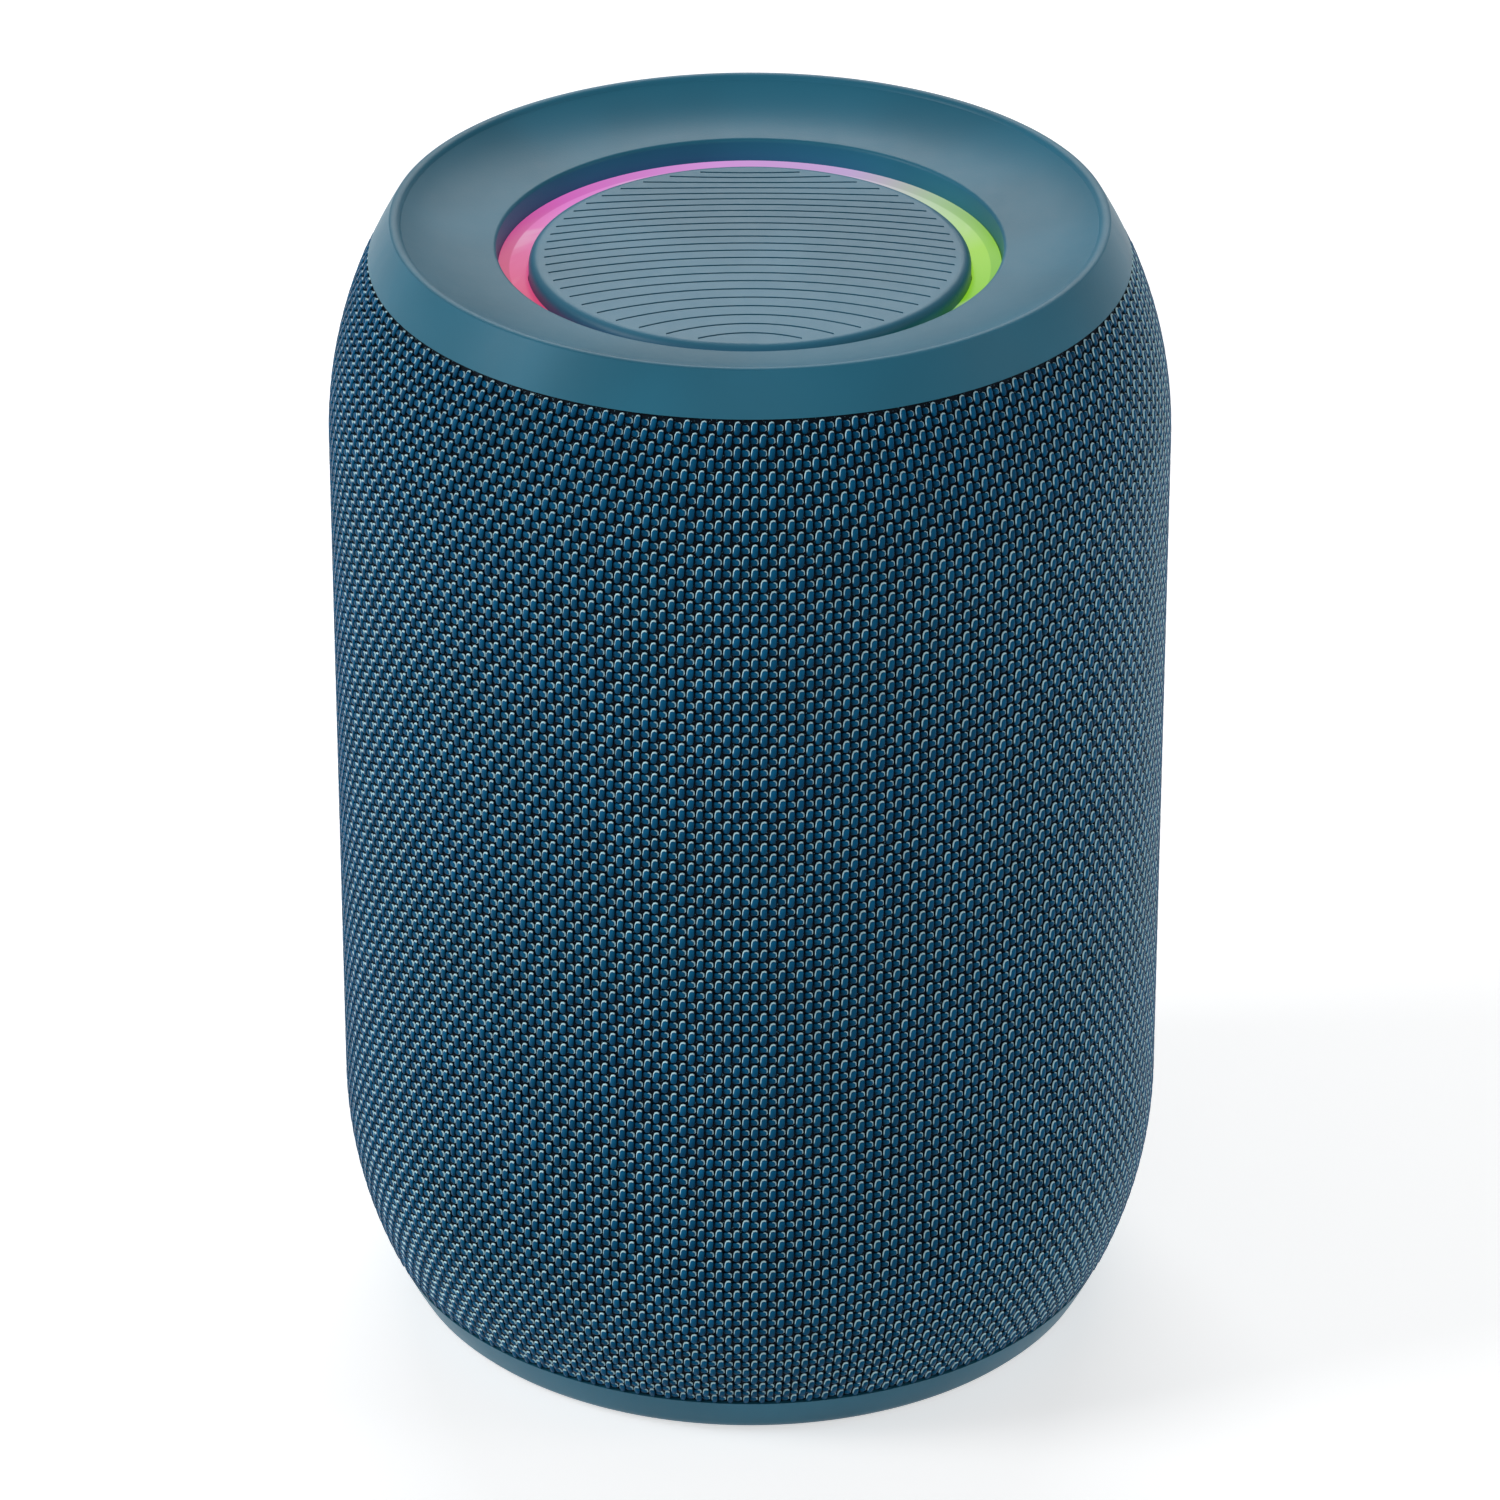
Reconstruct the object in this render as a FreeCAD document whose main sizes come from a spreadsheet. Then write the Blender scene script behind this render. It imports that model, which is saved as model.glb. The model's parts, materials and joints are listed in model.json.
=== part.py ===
"""Upright portable speaker: a cloth-covered barrel with a trim ring at each end, a sunk light ring and a
grooved disc on top, a driver and two passive radiators inside, and a control strip at the rear.

Frame: +Z up, millimetres, origin at the middle of the face that the speaker stands on, front towards -Y.
"""
import FreeCAD, Part
import math
import os
import re

import Sketcher
from FreeCAD import Vector

doc = FreeCAD.newDocument("PortableSpeaker")

# ---------------------------------------------------------------- driving sizes
SIZES = [
    # outer form
    ("body_radius", 47.25, "straight middle of the body"),
    ("shoulder_radius", 50.6, "arc of each shoulder, tangent to the straight middle"),
    ("shoulder_rise", 26.0, "height of each shoulder above or below its end plane"),
    ("skin_height", 133.66, "from the underside of the base ring to the rim of the top ring"),
    ("foot_proud", 0.6, "how far the rubber foot stands below the base ring"),
    ("trim_band", 4.6, "visible height of each trim ring's bevel"),
    ("trim_wall", 2.0, "wall of the trim rings"),
    ("tongue_wall", 1.6, "wall of the tongues that the trim rings push into the cage"),
    ("tongue_depth", 6.4, "reach of those tongues past the bevel"),
    ("fit_gap", 0.15, "clearance between fixed pieces that slip together"),
    ("run_gap", 0.25, "clearance round pieces that move"),
    ("cloth_wall", 0.9, "thickness of the woven cloth"),
    ("cage_wall", 1.8, "wall of the cage under the cloth"),
    ("cage_slots", 12, "places round the cage; the one at the rear is left for the control panel"),
    ("slot_width", 13.0, "width of a cage slot"),
    ("slot_height", 23.0, "height of a cage slot"),
    ("slot_rows", 3, "rows of cage slots"),
    ("slot_pitch", 28.0, "distance between rows of cage slots"),
    # top of the speaker
    ("lip_width", 1.3, "width of the rounded lip at the rim"),
    ("lip_drop", 0.35, "how far the inner side of the lip lies below the rim"),
    ("lip_radius", 0.95, "rounding of the lip"),
    ("dish_depth", 3.16, "depth of the dish at the edge of the recess"),
    ("dish_radius", 22.0, "hollow arc of the dish"),
    ("recess_radius", 28.2, "wall of the recess that the light ring lies in"),
    ("recess_round", 0.45, "rounding of the recess edge"),
    ("glow_drop", 5.76, "depth of the light ring's outer edge below the rim"),
    ("glow_fall", 0.7, "how much the light ring falls towards the disc"),
    ("glow_wall", 1.6, "thickness of the diffuser"),
    ("glow_flange", 32.0, "radius of the diffuser's flange under the top ring"),
    ("flange_wall", 1.2, "thickness of that flange"),
    ("disc_radius", 24.65, "side of the top disc"),
    ("disc_drop", 4.59, "depth of the disc's face below the rim"),
    ("disc_edge", 1.2, "rounding of the disc's edge"),
    ("disc_wall", 2.8, "thickness of the disc"),
    ("post_radius", 1.8, "posts under the disc"),
    ("post_circle", 14.0, "circle that the posts stand on"),
    ("post_length", 5.6, "length of the posts"),
    ("groove_count", 24, "curved grooves in the disc"),
    ("groove_width", 0.34, "width of a groove"),
    ("groove_depth", 0.35, "depth of a groove"),
    ("groove_reach", 22.9, "radius at which the grooves end"),
    ("groove_first", 22.0, "crest of the rearmost groove, from the middle"),
    ("groove_pitch", 1.32, "distance between the two rearmost crests"),
    ("groove_growth", 0.0234, "how the distance between crests widens towards the front"),
    ("fan_step", 5.093, "degrees from one groove's end to the next at the sides"),
    ("fan_spread", 0.01126, "how those steps widen towards the front and the rear"),
    # deck under the top
    ("deck_wall", 2.4, "plate of the deck"),
    ("deck_rib", 1.5, "ribs of the deck that carry the disc and the diffuser"),
    ("deck_screw_circle", 18.0, "circle of the deck screws"),
    ("skirt_radius", 28.2, "inner radius of the skirt that the deck stands on"),
    ("board_wall", 1.6, "thickness of every circuit board"),
    ("led_count", 18, "lamps on the light board"),
    ("led_length", 3.5, "length of a lamp along the ring"),
    ("led_width", 2.8, "width of a lamp"),
    ("led_height", 1.0, "height of a lamp"),
    # sealed enclosure
    ("box_base", 14.6, "underside of the enclosure"),
    ("box_drop", 23.26, "upper edge of the enclosure's walls, below the rim"),
    ("box_inset", 4.65, "rounded corners of the enclosure, in from the body"),
    ("box_wall", 2.4, "wall of the enclosure"),
    ("front_inset", 16.75, "driver's face, in from the body"),
    ("side_inset", 14.25, "radiators' faces, in from the body"),
    ("rear_inset", 14.25, "rear face, in from the body"),
    ("gasket_wall", 0.8, "thickness of the gaskets"),
    ("lid_wall", 2.8, "plate of the enclosure's lid"),
    ("boss_radius", 3.2, "screw bosses"),
    ("lid_screw_in", 4.41, "lid screws, in from the rounded corners"),
    ("lid_screw_turn", 43.73, "degrees of the lid screws from the sides"),
    # base
    ("cover_inset", 11.25, "opening of the base ring, in from the body"),
    ("cover_wall", 2.4, "thickness of the bottom cover"),
    ("ledge_width", 2.0, "ledge of the base ring over the cover"),
    ("ledge_wall", 1.6, "thickness of that ledge"),
    ("base_edge", 0.6, "bevel of the base ring's lower edge"),
    ("foot_width", 4.6, "width of the rubber foot"),
    ("foot_inset", 2.8, "rubber foot, in from the edge of the cover"),
    ("foot_sunk", 1.4, "depth of the groove that holds the foot"),
    ("foot_bevel", 0.5, "bevel of the foot's lower edges"),
    ("base_screw_in", 5.6, "circle of the base screws, in from the foot"),
    ("leg_radius", 2.6, "lower part of the enclosure's legs"),
    ("leg_shelf", 3.8, "upper part of the legs, which the main board rests against"),
    ("main_board_level", 9.0, "underside of the main board"),
    ("main_board_in", 5.5, "edge of the main board, in from the cover's edge"),
    ("chip_height", 1.2, "chips on the main board"),
    ("can_height", 3.0, "round capacitors on the main board"),
    # screws
    ("screw_radius", 1.3, "shank of every screw"),
    ("head_radius", 2.6, "head of every screw"),
    ("head_height", 1.3, "height of a screw's head"),
    ("thread_play", 0.02, "how much thinner a shank is than its bore"),
    ("lid_screw_reach", 12.0, "shank of a lid screw"),
    ("deck_screw_reach", 7.0, "shank of a deck screw"),
    ("base_screw_reach", 8.0, "bore for a base screw"),
    ("driver_screw_bite", 2.0, "how far a driver screw goes into the enclosure"),
    # driver, along its own axis from the enclosure's front face
    ("driver_drop", 1.13, "axes of the driver and the radiators, below the middle of the body"),
    ("driver_inset", 19.25, "edge of the driver's flange, in from the body"),
    ("driver_flange", 1.6, "thickness of that flange"),
    ("basket_step", 4.4, "mouth of the basket, in from the flange's edge"),
    ("basket_neck", 17.0, "rear of the basket"),
    ("basket_depth", 15.0, "depth of the basket behind the flange"),
    ("basket_wall", 1.4, "wall of the basket"),
    ("plate_wall", 4.0, "front and rear plates of the motor"),
    ("magnet_radius", 16.5, "magnet"),
    ("magnet_wall", 8.0, "length of the magnet"),
    ("pole_radius", 6.1, "pole piece in the voice coil"),
    ("coil_radius", 6.9, "outer radius of the voice coil"),
    ("coil_wall", 0.45, "wall of the voice coil"),
    ("coil_gap", 0.35, "gap round the voice coil"),
    ("surround_width", 3.8, "from the edge of the cone to the basket"),
    ("cone_depth", 8.5, "depth of the cone"),
    ("cone_wall", 0.5, "thickness of the cone"),
    ("cap_radius", 7.6, "dust cap"),
    ("cap_rise", 2.6, "height of the dust cap"),
    ("roll_radius", 1.4, "half roll of the driver's surround"),
    ("roll_wall", 0.5, "thickness of the surrounds"),
    ("driver_screw_in", 2.2, "circle of the driver's screws, in from the flange's edge"),
    # passive radiators
    ("passive_seat", 4.0, "width of the flange round a radiator's opening"),
    ("passive_flange", 1.8, "thickness of that flange"),
    ("passive_mouth", 20.6, "opening of the radiator's frame"),
    ("passive_disc", 14.2, "stiff disc of a radiator"),
    ("passive_wall", 2.2, "thickness of that disc"),
    ("passive_roll", 2.2, "half roll of a radiator's surround"),
    # battery
    ("cell_radius", 9.2, "battery cell"),
    ("cell_length", 65.0, "battery cell"),
    ("cell_slack", 1.2, "room between the cells and the rear wall"),
    ("holder_wall", 1.6, "wall of the battery holder"),
    # rear control strip
    ("panel_width", 16.4, "width of the control panel"),
    ("panel_base", 28.0, "lower end of the control panel"),
    ("panel_drop", 26.26, "upper end of the control panel, below the rim"),
    ("panel_sunk", 0.25, "depth of the panel's face below the cloth"),
    ("panel_lip", 2.0, "flange of the panel behind the cage"),
    ("panel_lip_wall", 1.0, "thickness of that flange"),
    ("button_space", 3.4, "space between the caps of two buttons"),
    ("button_count", 5, "buttons in the row"),
    ("button_first", 54.0, "height of the lowest button"),
    ("button_margin", 6.0, "highest button, below the upper end of the panel"),
    ("button_flange", 0.8, "how far a button's flange stands out behind the panel"),
    ("button_flange_wall", 1.0, "thickness of that flange"),
    ("button_bevel", 0.5, "bevel round a button's face"),
    ("button_stem", 1.6, "radius of a button's stem"),
    ("button_travel", 0.6, "how far a button goes in"),
    ("switch_size", 6.0, "body of a switch"),
    ("switch_height", 2.4, "height of that body"),
    ("plunger_height", 0.6, "plunger on a switch"),
    ("board_standoff", 2.0, "bosses behind the switch board"),
    ("standoff_radius", 1.8, "bosses behind the switch board"),
    ("port_level", 40.0, "height of the charge port"),
    ("port_width", 9.0, "charge port"),
    ("port_height", 3.2, "charge port"),
    ("port_wall", 0.35, "shell of the charge port"),
    ("port_back", 1.0, "back wall of the charge port"),
    ("port_tongue", 0.7, "thickness of its tongue"),
    ("flap_width", 12.0, "flap over the charge port"),
    ("flap_height", 14.5, "flap over the charge port"),
    ("flap_wall", 2.0, "thickness of the flap"),
    ("flap_corner", 2.5, "upper corners of the flap"),
    ("hinge_radius", 1.0, "rolled lower edge that the flap turns on"),
    ("plug_wall", 0.8, "pad at the back of the flap"),
]

sheet = doc.addObject("Spreadsheet::Sheet", "Sizes")
for row, (name, value, note) in enumerate(SIZES, start=1):
    sheet.set(f"A{row}", name)
    sheet.set(f"B{row}", str(value))
    sheet.set(f"C{row}", note)
    sheet.setAlias(f"B{row}", name)
doc.recompute()
NAMES = {name for name, value, note in SIZES}


FOLLOWING = {
    "box_top": "(foot_proud + skin_height - box_drop)",
    "box_radius": "(body_radius - box_inset)",
    "front_flat": "(body_radius - front_inset)",
    "side_flat": "(body_radius - side_inset)",
    "rear_flat": "(body_radius - rear_inset)",
    "lid_screw_x": "((box_radius - lid_screw_in) * cos(lid_screw_turn))",
    "lid_screw_y": "((box_radius - lid_screw_in) * sin(lid_screw_turn))",
    "cover_radius": "(body_radius - cover_inset)",
    "foot_outer": "(cover_radius - foot_inset)",
    "foot_inner": "(foot_outer - foot_width)",
    "base_screw_circle": "(foot_inner - base_screw_in)",
    "main_board_radius": "(cover_radius - main_board_in)",
    "driver_level": "((foot_proud + skin_height) / 2 - driver_drop)",
    "driver_radius": "(body_radius - driver_inset)",
    "driver_screw_circle": "(driver_radius - driver_screw_in)",
    "basket_radius": "(driver_radius - basket_step)",
    "cone_radius": "(basket_radius - basket_wall - surround_width)",
    "passive_radius": "(passive_mouth + passive_seat)",
    "cell_behind": "(rear_flat - box_wall - cell_slack - cell_radius)",
    "cell_base": "((box_base + box_top - cell_length) / 2)",
    "panel_length": "(foot_proud + skin_height - panel_drop - panel_base)",
    "button_pitch": "((panel_base + panel_length - button_margin - button_first) / (button_count - 1))",
    "button_radius": "((button_pitch - button_space) / 2)",
}


def formula(text):
    """Write out sizes that follow others, then point every size name at its cell of the sheet."""
    while any(word in FOLLOWING for word in re.findall("[a-z][a-z_]*", str(text))):
        text = re.sub("[a-z][a-z_]*", lambda word: FOLLOWING.get(word.group(), word.group()), str(text))
    def cell(word):
        return "Sizes." + word.group() if word.group() in NAMES else word.group()
    return re.sub("[a-z][a-z_]*", cell, str(text))


def number(text):
    """Value of a formula."""
    return float(sheet.evalExpression(formula(text)))


# ---------------------------------------------------------------- heights and radii that pieces share
def low(rise):
    """Height that lies this far above the underside of the base ring."""
    return f"(foot_proud + {rise})"


def high(drop):
    """Height that lies this far below the rim of the top ring."""
    return f"(foot_proud + skin_height - ({drop}))"


def shoulder(reach, inset="0"):
    """Radius of the body this far from an end plane, on a surface set in from the outer one."""
    return (f"(body_radius - shoulder_radius + sqrt((shoulder_radius - ({inset}))^2"
            f" - (shoulder_rise - ({reach}))^2))")


CAGE_OUT = "(cloth_wall + fit_gap)"
CAGE_IN = "(cloth_wall + fit_gap + cage_wall)"
TONGUE_OUT = "(cloth_wall + cage_wall + 2 * fit_gap)"
TONGUE_IN = "(cloth_wall + cage_wall + 2 * fit_gap + tongue_wall)"
TONGUE_END = "(trim_band + tongue_depth)"
FLANGE_DROP = "(glow_drop + flange_wall)"
DISC_FACE = high("disc_drop")
DISC_UNDER = high("disc_drop + disc_wall")
DECK_TOP = high(TONGUE_END)
DECK_UNDER = f"({DECK_TOP} - deck_wall)"
LID_UNDER = "(box_top + gasket_wall)"
LID_TOP = "(box_top + gasket_wall + lid_wall)"
COVER_TOP = low("cover_wall")
DRIVER_SCREWS = "(driver_screw_circle * sqrt(0.5))"
PANEL_FACE = "(body_radius - panel_sunk)"
PANEL_BACK = f"(body_radius - {CAGE_IN} - fit_gap)"
SWITCH_FACE = "(rear_flat + board_standoff + board_wall)"
HINGE_LEVEL = "(port_level - flap_height / 2 + hinge_radius)"
HINGE_BEHIND = f"({PANEL_FACE} - flap_wall / 2)"
pieces = []


# ---------------------------------------------------------------- modelling helpers
def new_body(label):
    """A piece of its own, empty so far."""
    body = doc.addObject("PartDesign::Body", label)
    body.Label = label
    body.AllowCompound = True
    pieces.append(body)
    return body


def origin_part(body, role):
    """Plane or axis of the piece's own origin."""
    return next(part for part in body.Origin.OriginFeatures if part.Role == role)


def new_sketch(body, plane="XZ_Plane", offset="0"):
    """Sketch on an origin plane of the piece, moved along that plane's normal."""
    sketch = body.newObject("Sketcher::SketchObject", body.Name + "_sketch")
    sketch.AttachmentSupport = [(origin_part(body, plane), "")]
    sketch.MapMode = "FlatFace"
    if offset != "0":
        sketch.setExpression("AttachmentOffset.Base.z", formula(offset))
    return sketch


def pin(edge, end, corner):
    """Dimensions that fix one end of an edge at a corner, a pair of formulas."""
    label = f"{edge}_{end}"
    return [
        (Sketcher.Constraint("DistanceX", -1, 1, edge, end, number(corner[0])), corner[0], "across" + label),
        (Sketcher.Constraint("DistanceY", -1, 1, edge, end, number(corner[1])), corner[1], "along" + label),
    ]


def bind(sketch, joins, dimensions):
    """Add the joins and the dimensions to the sketch, and tie each dimension to its formula."""
    first = sketch.ConstraintCount + len(joins)
    sketch.addConstraint(joins + [constraint for constraint, text, label in dimensions])
    for index, (constraint, text, label) in enumerate(dimensions, start=first):
        sketch.renameConstraint(index, label)
        if re.search(r"[a-z]", str(text)):
            sketch.setExpression("Constraints." + label, formula(text))


def arc_between(here, there, radius, turn):
    """Arc from one point to another, turning left or right, and whether its own start is the first point."""
    half = (there - here) * 0.5
    aside = Vector(-half.y, half.x, 0).normalize() * (1 if turn == "left" else -1)
    centre = here + half + aside * math.sqrt(max(radius ** 2 - half.Length ** 2, 0.0))
    begin, finish = (here, there) if turn == "left" else (there, here)
    angles = [math.atan2(point.y - centre.y, point.x - centre.x) for point in (begin, finish)]
    if angles[1] < angles[0]:
        angles[1] += 2 * math.pi
    return Part.ArcOfCircle(Part.Circle(centre, Vector(0, 0, 1), radius), angles[0], angles[1])


def loop(sketch, corners):
    """Closed outline. A corner is (x, y) with a straight run to the next one, or (x, y, radius, turn) with an
    arc that turns left or right on its way to the next one."""
    first, count = sketch.GeometryCount, len(corners)
    points = [Vector(number(corner[0]), number(corner[1]), 0) for corner in corners]
    edges, starts, joins, dimensions = [], [], [], []
    for place, corner in enumerate(corners):
        here, there = points[place], points[(place + 1) % count]
        if len(corner) == 2:
            edges.append(Part.LineSegment(here, there))
            starts.append(1)
        else:
            edges.append(arc_between(here, there, number(corner[2]), corner[3]))
            starts.append(1 if corner[3] == "left" else 2)
    for place, corner in enumerate(corners):
        edge, after = first + place, (place + 1) % count
        joins.append(Sketcher.Constraint("Coincident", edge, 3 - starts[place], first + after, starts[after]))
        dimensions += pin(edge, starts[place], corner)
        if len(corner) == 4:
            dimensions.append(bend(edge, corner, points[after] - points[place]))
    sketch.addGeometry(edges)
    bind(sketch, joins, dimensions)


def bend(edge, corner, chord):
    """Dimension that fixes an arc between two pinned ends: its radius or, for a half circle, its centre."""
    label = f"bend{edge}"
    if chord.Length < 2 * number(corner[2]) - 1e-6:
        return Sketcher.Constraint("Radius", edge, number(corner[2])), corner[2], label
    axis, middle = ("DistanceY", corner[1]) if abs(chord.y) < abs(chord.x) else ("DistanceX", corner[0])
    return Sketcher.Constraint(axis, -1, 1, edge, 3, number(middle)), middle, label


def circle(sketch, x, y, radius):
    """Full circle in a sketch."""
    middle = Vector(number(x), number(y), 0)
    edge = sketch.addGeometry(Part.Circle(middle, Vector(0, 0, 1), number(radius)))
    size = (Sketcher.Constraint("Radius", edge, number(radius)), radius, f"bend{edge}")
    bind(sketch, [], pin(edge, 3, (x, y)) + [size])


def rectangle(sketch, x, y, width, height):
    """Rectangle about a middle point."""
    left, right = f"{x} - ({width}) / 2", f"{x} + ({width}) / 2"
    floor, roof = f"{y} - ({height}) / 2", f"{y} + ({height}) / 2"
    loop(sketch, [(left, floor), (right, floor), (right, roof), (left, roof)])


def pill(sketch, width, base, top, grow="0"):
    """Upright slot outline with round ends, made larger all round by grow."""
    half = f"({width} / 2 + ({grow}))"
    floor, roof = f"({base}) + {width} / 2", f"({top}) - {width} / 2"
    loop(sketch, [
        (half, floor),
        (half, roof, half, "left"),
        (f"-{half}", roof),
        (f"-{half}", floor, half, "left"),
    ])


def feature(body, kind, sketch, length=None, both=False, backwards=False):
    """Pad or pocket of a sketch; without a length it goes through everything."""
    made = body.newObject("PartDesign::" + kind, body.Name + "_" + kind.lower())
    made.Profile = sketch
    if length is None:
        made.Type = "ThroughAll"
    else:
        made.Type = "Length"
        made.setExpression("Length", formula(length))
    made.SideType = "Symmetric" if both else "One side"
    made.Reversed = backwards
    sketch.Visibility = False
    return made


def pad(body, sketch, length, **options):
    return feature(body, "Pad", sketch, length, **options)


def pocket(body, sketch, length=None, **options):
    """Pocket whose removal of material is checked."""
    doc.recompute()
    before = body.Shape.Volume
    made = feature(body, "Pocket", sketch, length, **options)
    doc.recompute()
    if body.Shape.Volume >= before - 1e-6:
        raise RuntimeError("a pocket removed nothing in " + body.Label)
    return made


def revolve(body, corners, kind="Revolution"):
    """Turn an outline, drawn as (radius, height), about the piece's own Z axis."""
    sketch = new_sketch(body)
    loop(sketch, corners)
    made = body.newObject("PartDesign::" + kind, body.Name + "_" + kind.lower())
    made.Profile = sketch
    made.ReferenceAxis = (sketch, ["V_Axis"])
    made.Angle = 360
    sketch.Visibility = False
    return made


def ring(body, inner, outer, floor, roof):
    """Plain ring, or a disc where the inner radius is 0."""
    return revolve(body, [(inner, floor), (outer, floor), (outer, roof), (inner, roof)])


def repeat_round(body, features, count, span="360"):
    """Repeat features about the piece's own Z axis."""
    doc.recompute()
    made = body.newObject("PartDesign::PolarPattern", body.Name + "_pattern")
    made.Originals = features
    made.Axis = (origin_part(body, "Z_Axis"), [""])
    made.setExpression("Angle", formula(span))
    made.setExpression("Occurrences", formula(count))
    body.Tip = made
    doc.recompute()
    return made


def place(body, x="0", y="0", z="0", turn=(0, 0, 1, 0)):
    """Put a piece in the speaker: turned about an axis by degrees, then moved."""
    body.Placement = FreeCAD.Placement(Vector(), FreeCAD.Rotation(Vector(*turn[:3]), turn[3]))
    for axis, text in (("x", x), ("y", y), ("z", z)):
        body.setExpression(f"Placement.Base.{axis}", formula(text))


FACE_FRONT = (1, 0, 0, 90)
FACE_REAR = (1, 0, 0, -90)
FACE_RIGHT = (0, 1, 0, 90)
FACE_LEFT = (0, 1, 0, -90)


def corner_points(x, y):
    """Four points, one in each quarter."""
    return [(f"{sx}{x}", f"{sy}{y}") for sx in ("", "-") for sy in ("", "-")]


# ---------------------------------------------------------------- trim rings and cloth
def make_top_ring():
    """Upper trim ring: bevel, rounded lip, hollow dish, wall of the recess and a tongue into the cage."""
    body = new_body("top_ring")
    wall_foot = high(f"{FLANGE_DROP} - fit_gap")
    rib = "(recess_radius + trim_wall)"
    revolve(body, [
        (shoulder("trim_band"), high("trim_band"), "shoulder_radius", "left"),
        (shoulder("0"), high("0"), "lip_radius", "left"),
        (f"{shoulder('0')} - lip_width", high("lip_drop"), "dish_radius", "right"),
        ("recess_radius + recess_round", high("dish_depth"), "recess_round", "left"),
        ("recess_radius", high("dish_depth + recess_round")),
        ("recess_radius", wall_foot),
        (rib, wall_foot),
        (rib, high("dish_depth + trim_wall")),
        (shoulder("trim_wall + tongue_wall", TONGUE_IN), high("trim_wall + tongue_wall")),
        (shoulder(TONGUE_END, TONGUE_IN), high(TONGUE_END)),
        (shoulder(TONGUE_END, TONGUE_OUT), high(TONGUE_END)),
        (shoulder("trim_band", TONGUE_OUT), high("trim_band")),
    ])


def make_base_ring():
    """Lower trim ring: the same bevel, a tongue into the cage and a ledge over the bottom cover."""
    body = new_body("base_ring")
    ledge_under = low("cover_wall")
    ledge_top = low("cover_wall + ledge_wall")
    revolve(body, [
        (f"{shoulder('base_edge')} - base_edge", low("0")),
        (shoulder("base_edge"), low("base_edge"), "shoulder_radius", "left"),
        (shoulder("trim_band"), low("trim_band")),
        (shoulder("trim_band", TONGUE_OUT), low("trim_band")),
        (shoulder(TONGUE_END, TONGUE_OUT), low(TONGUE_END)),
        (shoulder(TONGUE_END, TONGUE_IN), low(TONGUE_END)),
        (shoulder("cover_wall + ledge_wall", TONGUE_IN), ledge_top),
        ("cover_radius - ledge_width", ledge_top),
        ("cover_radius - ledge_width", ledge_under),
        ("cover_radius", ledge_under),
        ("cover_radius", low("0")),
    ])


STATIONS = ("trim_band", TONGUE_END, f"(({TONGUE_END} + shoulder_rise) / 2)", "shoulder_rise")


def hidden_wall(inset):
    """Corners of a barrel-shaped surface, lowest first, with straight runs between its stations."""
    lower = [(shoulder(reach, inset), low(reach)) for reach in STATIONS]
    upper = [(shoulder(reach, inset), high(reach)) for reach in reversed(STATIONS)]
    return lower + upper


def make_barrel(body, inset, thickness):
    """Wall of the barrel between the trim rings; its face is curved if it is the outer one."""
    if inset == "0":
        face = [
            (shoulder("trim_band"), low("trim_band"), "shoulder_radius", "left"),
            ("body_radius", low("shoulder_rise")),
            ("body_radius", high("shoulder_rise"), "shoulder_radius", "left"),
            (shoulder("trim_band"), high("trim_band")),
        ]
    else:
        face = hidden_wall(inset)
    revolve(body, face + list(reversed(hidden_wall(f"({inset} + {thickness})"))))


def cut_panel_opening(body):
    """Upright opening at the rear for the control panel."""
    sketch = new_sketch(body)
    pill(sketch, "panel_width", "panel_base", "panel_base + panel_length", "fit_gap")
    pocket(body, sketch)


def make_fabric_sleeve():
    """Woven cloth drawn over the cage, its edges held at the two trim rings."""
    body = new_body("fabric_sleeve")
    make_barrel(body, "0", "cloth_wall")
    cut_panel_opening(body)


def make_grille_cage():
    """Stiff cage with rows of upright slots that lets the sound through the cloth."""
    body = new_body("grille_cage")
    make_barrel(body, CAGE_OUT, "cage_wall")
    cut_panel_opening(body)
    sketch = new_sketch(body)
    sketch.AttachmentOffset = FreeCAD.Placement(Vector(), FreeCAD.Rotation(Vector(0, 1, 0), 1))
    sketch.setExpression("AttachmentOffset.Rotation.Angle", formula("360 / cage_slots"))
    sketch.setExpression("AttachmentOffset.Base.x", formula("-side_flat * sin(360 / cage_slots)"))
    sketch.setExpression("AttachmentOffset.Base.z", formula("-side_flat * cos(360 / cage_slots)"))
    middle = "(foot_proud + skin_height / 2)"
    for row in range(int(number("slot_rows"))):
        centre = f"({middle} + slot_pitch * ({row} - (slot_rows - 1) / 2))"
        pill(sketch, "slot_width", f"{centre} - slot_height / 2", f"{centre} + slot_height / 2")
    slots = pocket(body, sketch)
    repeat_round(body, [slots], "cage_slots - 1", "360 - 720 / cage_slots")


# ---------------------------------------------------------------- top: light ring, disc and deck
def make_light_ring():
    """Diffuser: a shallow cone that falls towards the disc, with a flange held under the top ring."""
    body = new_body("light_ring")
    revolve(body, [
        ("recess_radius - fit_gap", high("glow_drop")),
        ("disc_radius + fit_gap", high("glow_drop + glow_fall")),
        ("disc_radius + fit_gap", high("glow_drop + glow_fall + glow_wall")),
        ("recess_radius - glow_wall", high("glow_drop + glow_wall")),
        ("recess_radius - glow_wall", high(f"{FLANGE_DROP} + flange_wall")),
        ("glow_flange", high(f"{FLANGE_DROP} + flange_wall")),
        ("glow_flange", high(FLANGE_DROP)),
        ("recess_radius - fit_gap", high(FLANGE_DROP)),
    ])


GROOVES_TO_A_SKETCH = 3


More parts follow.
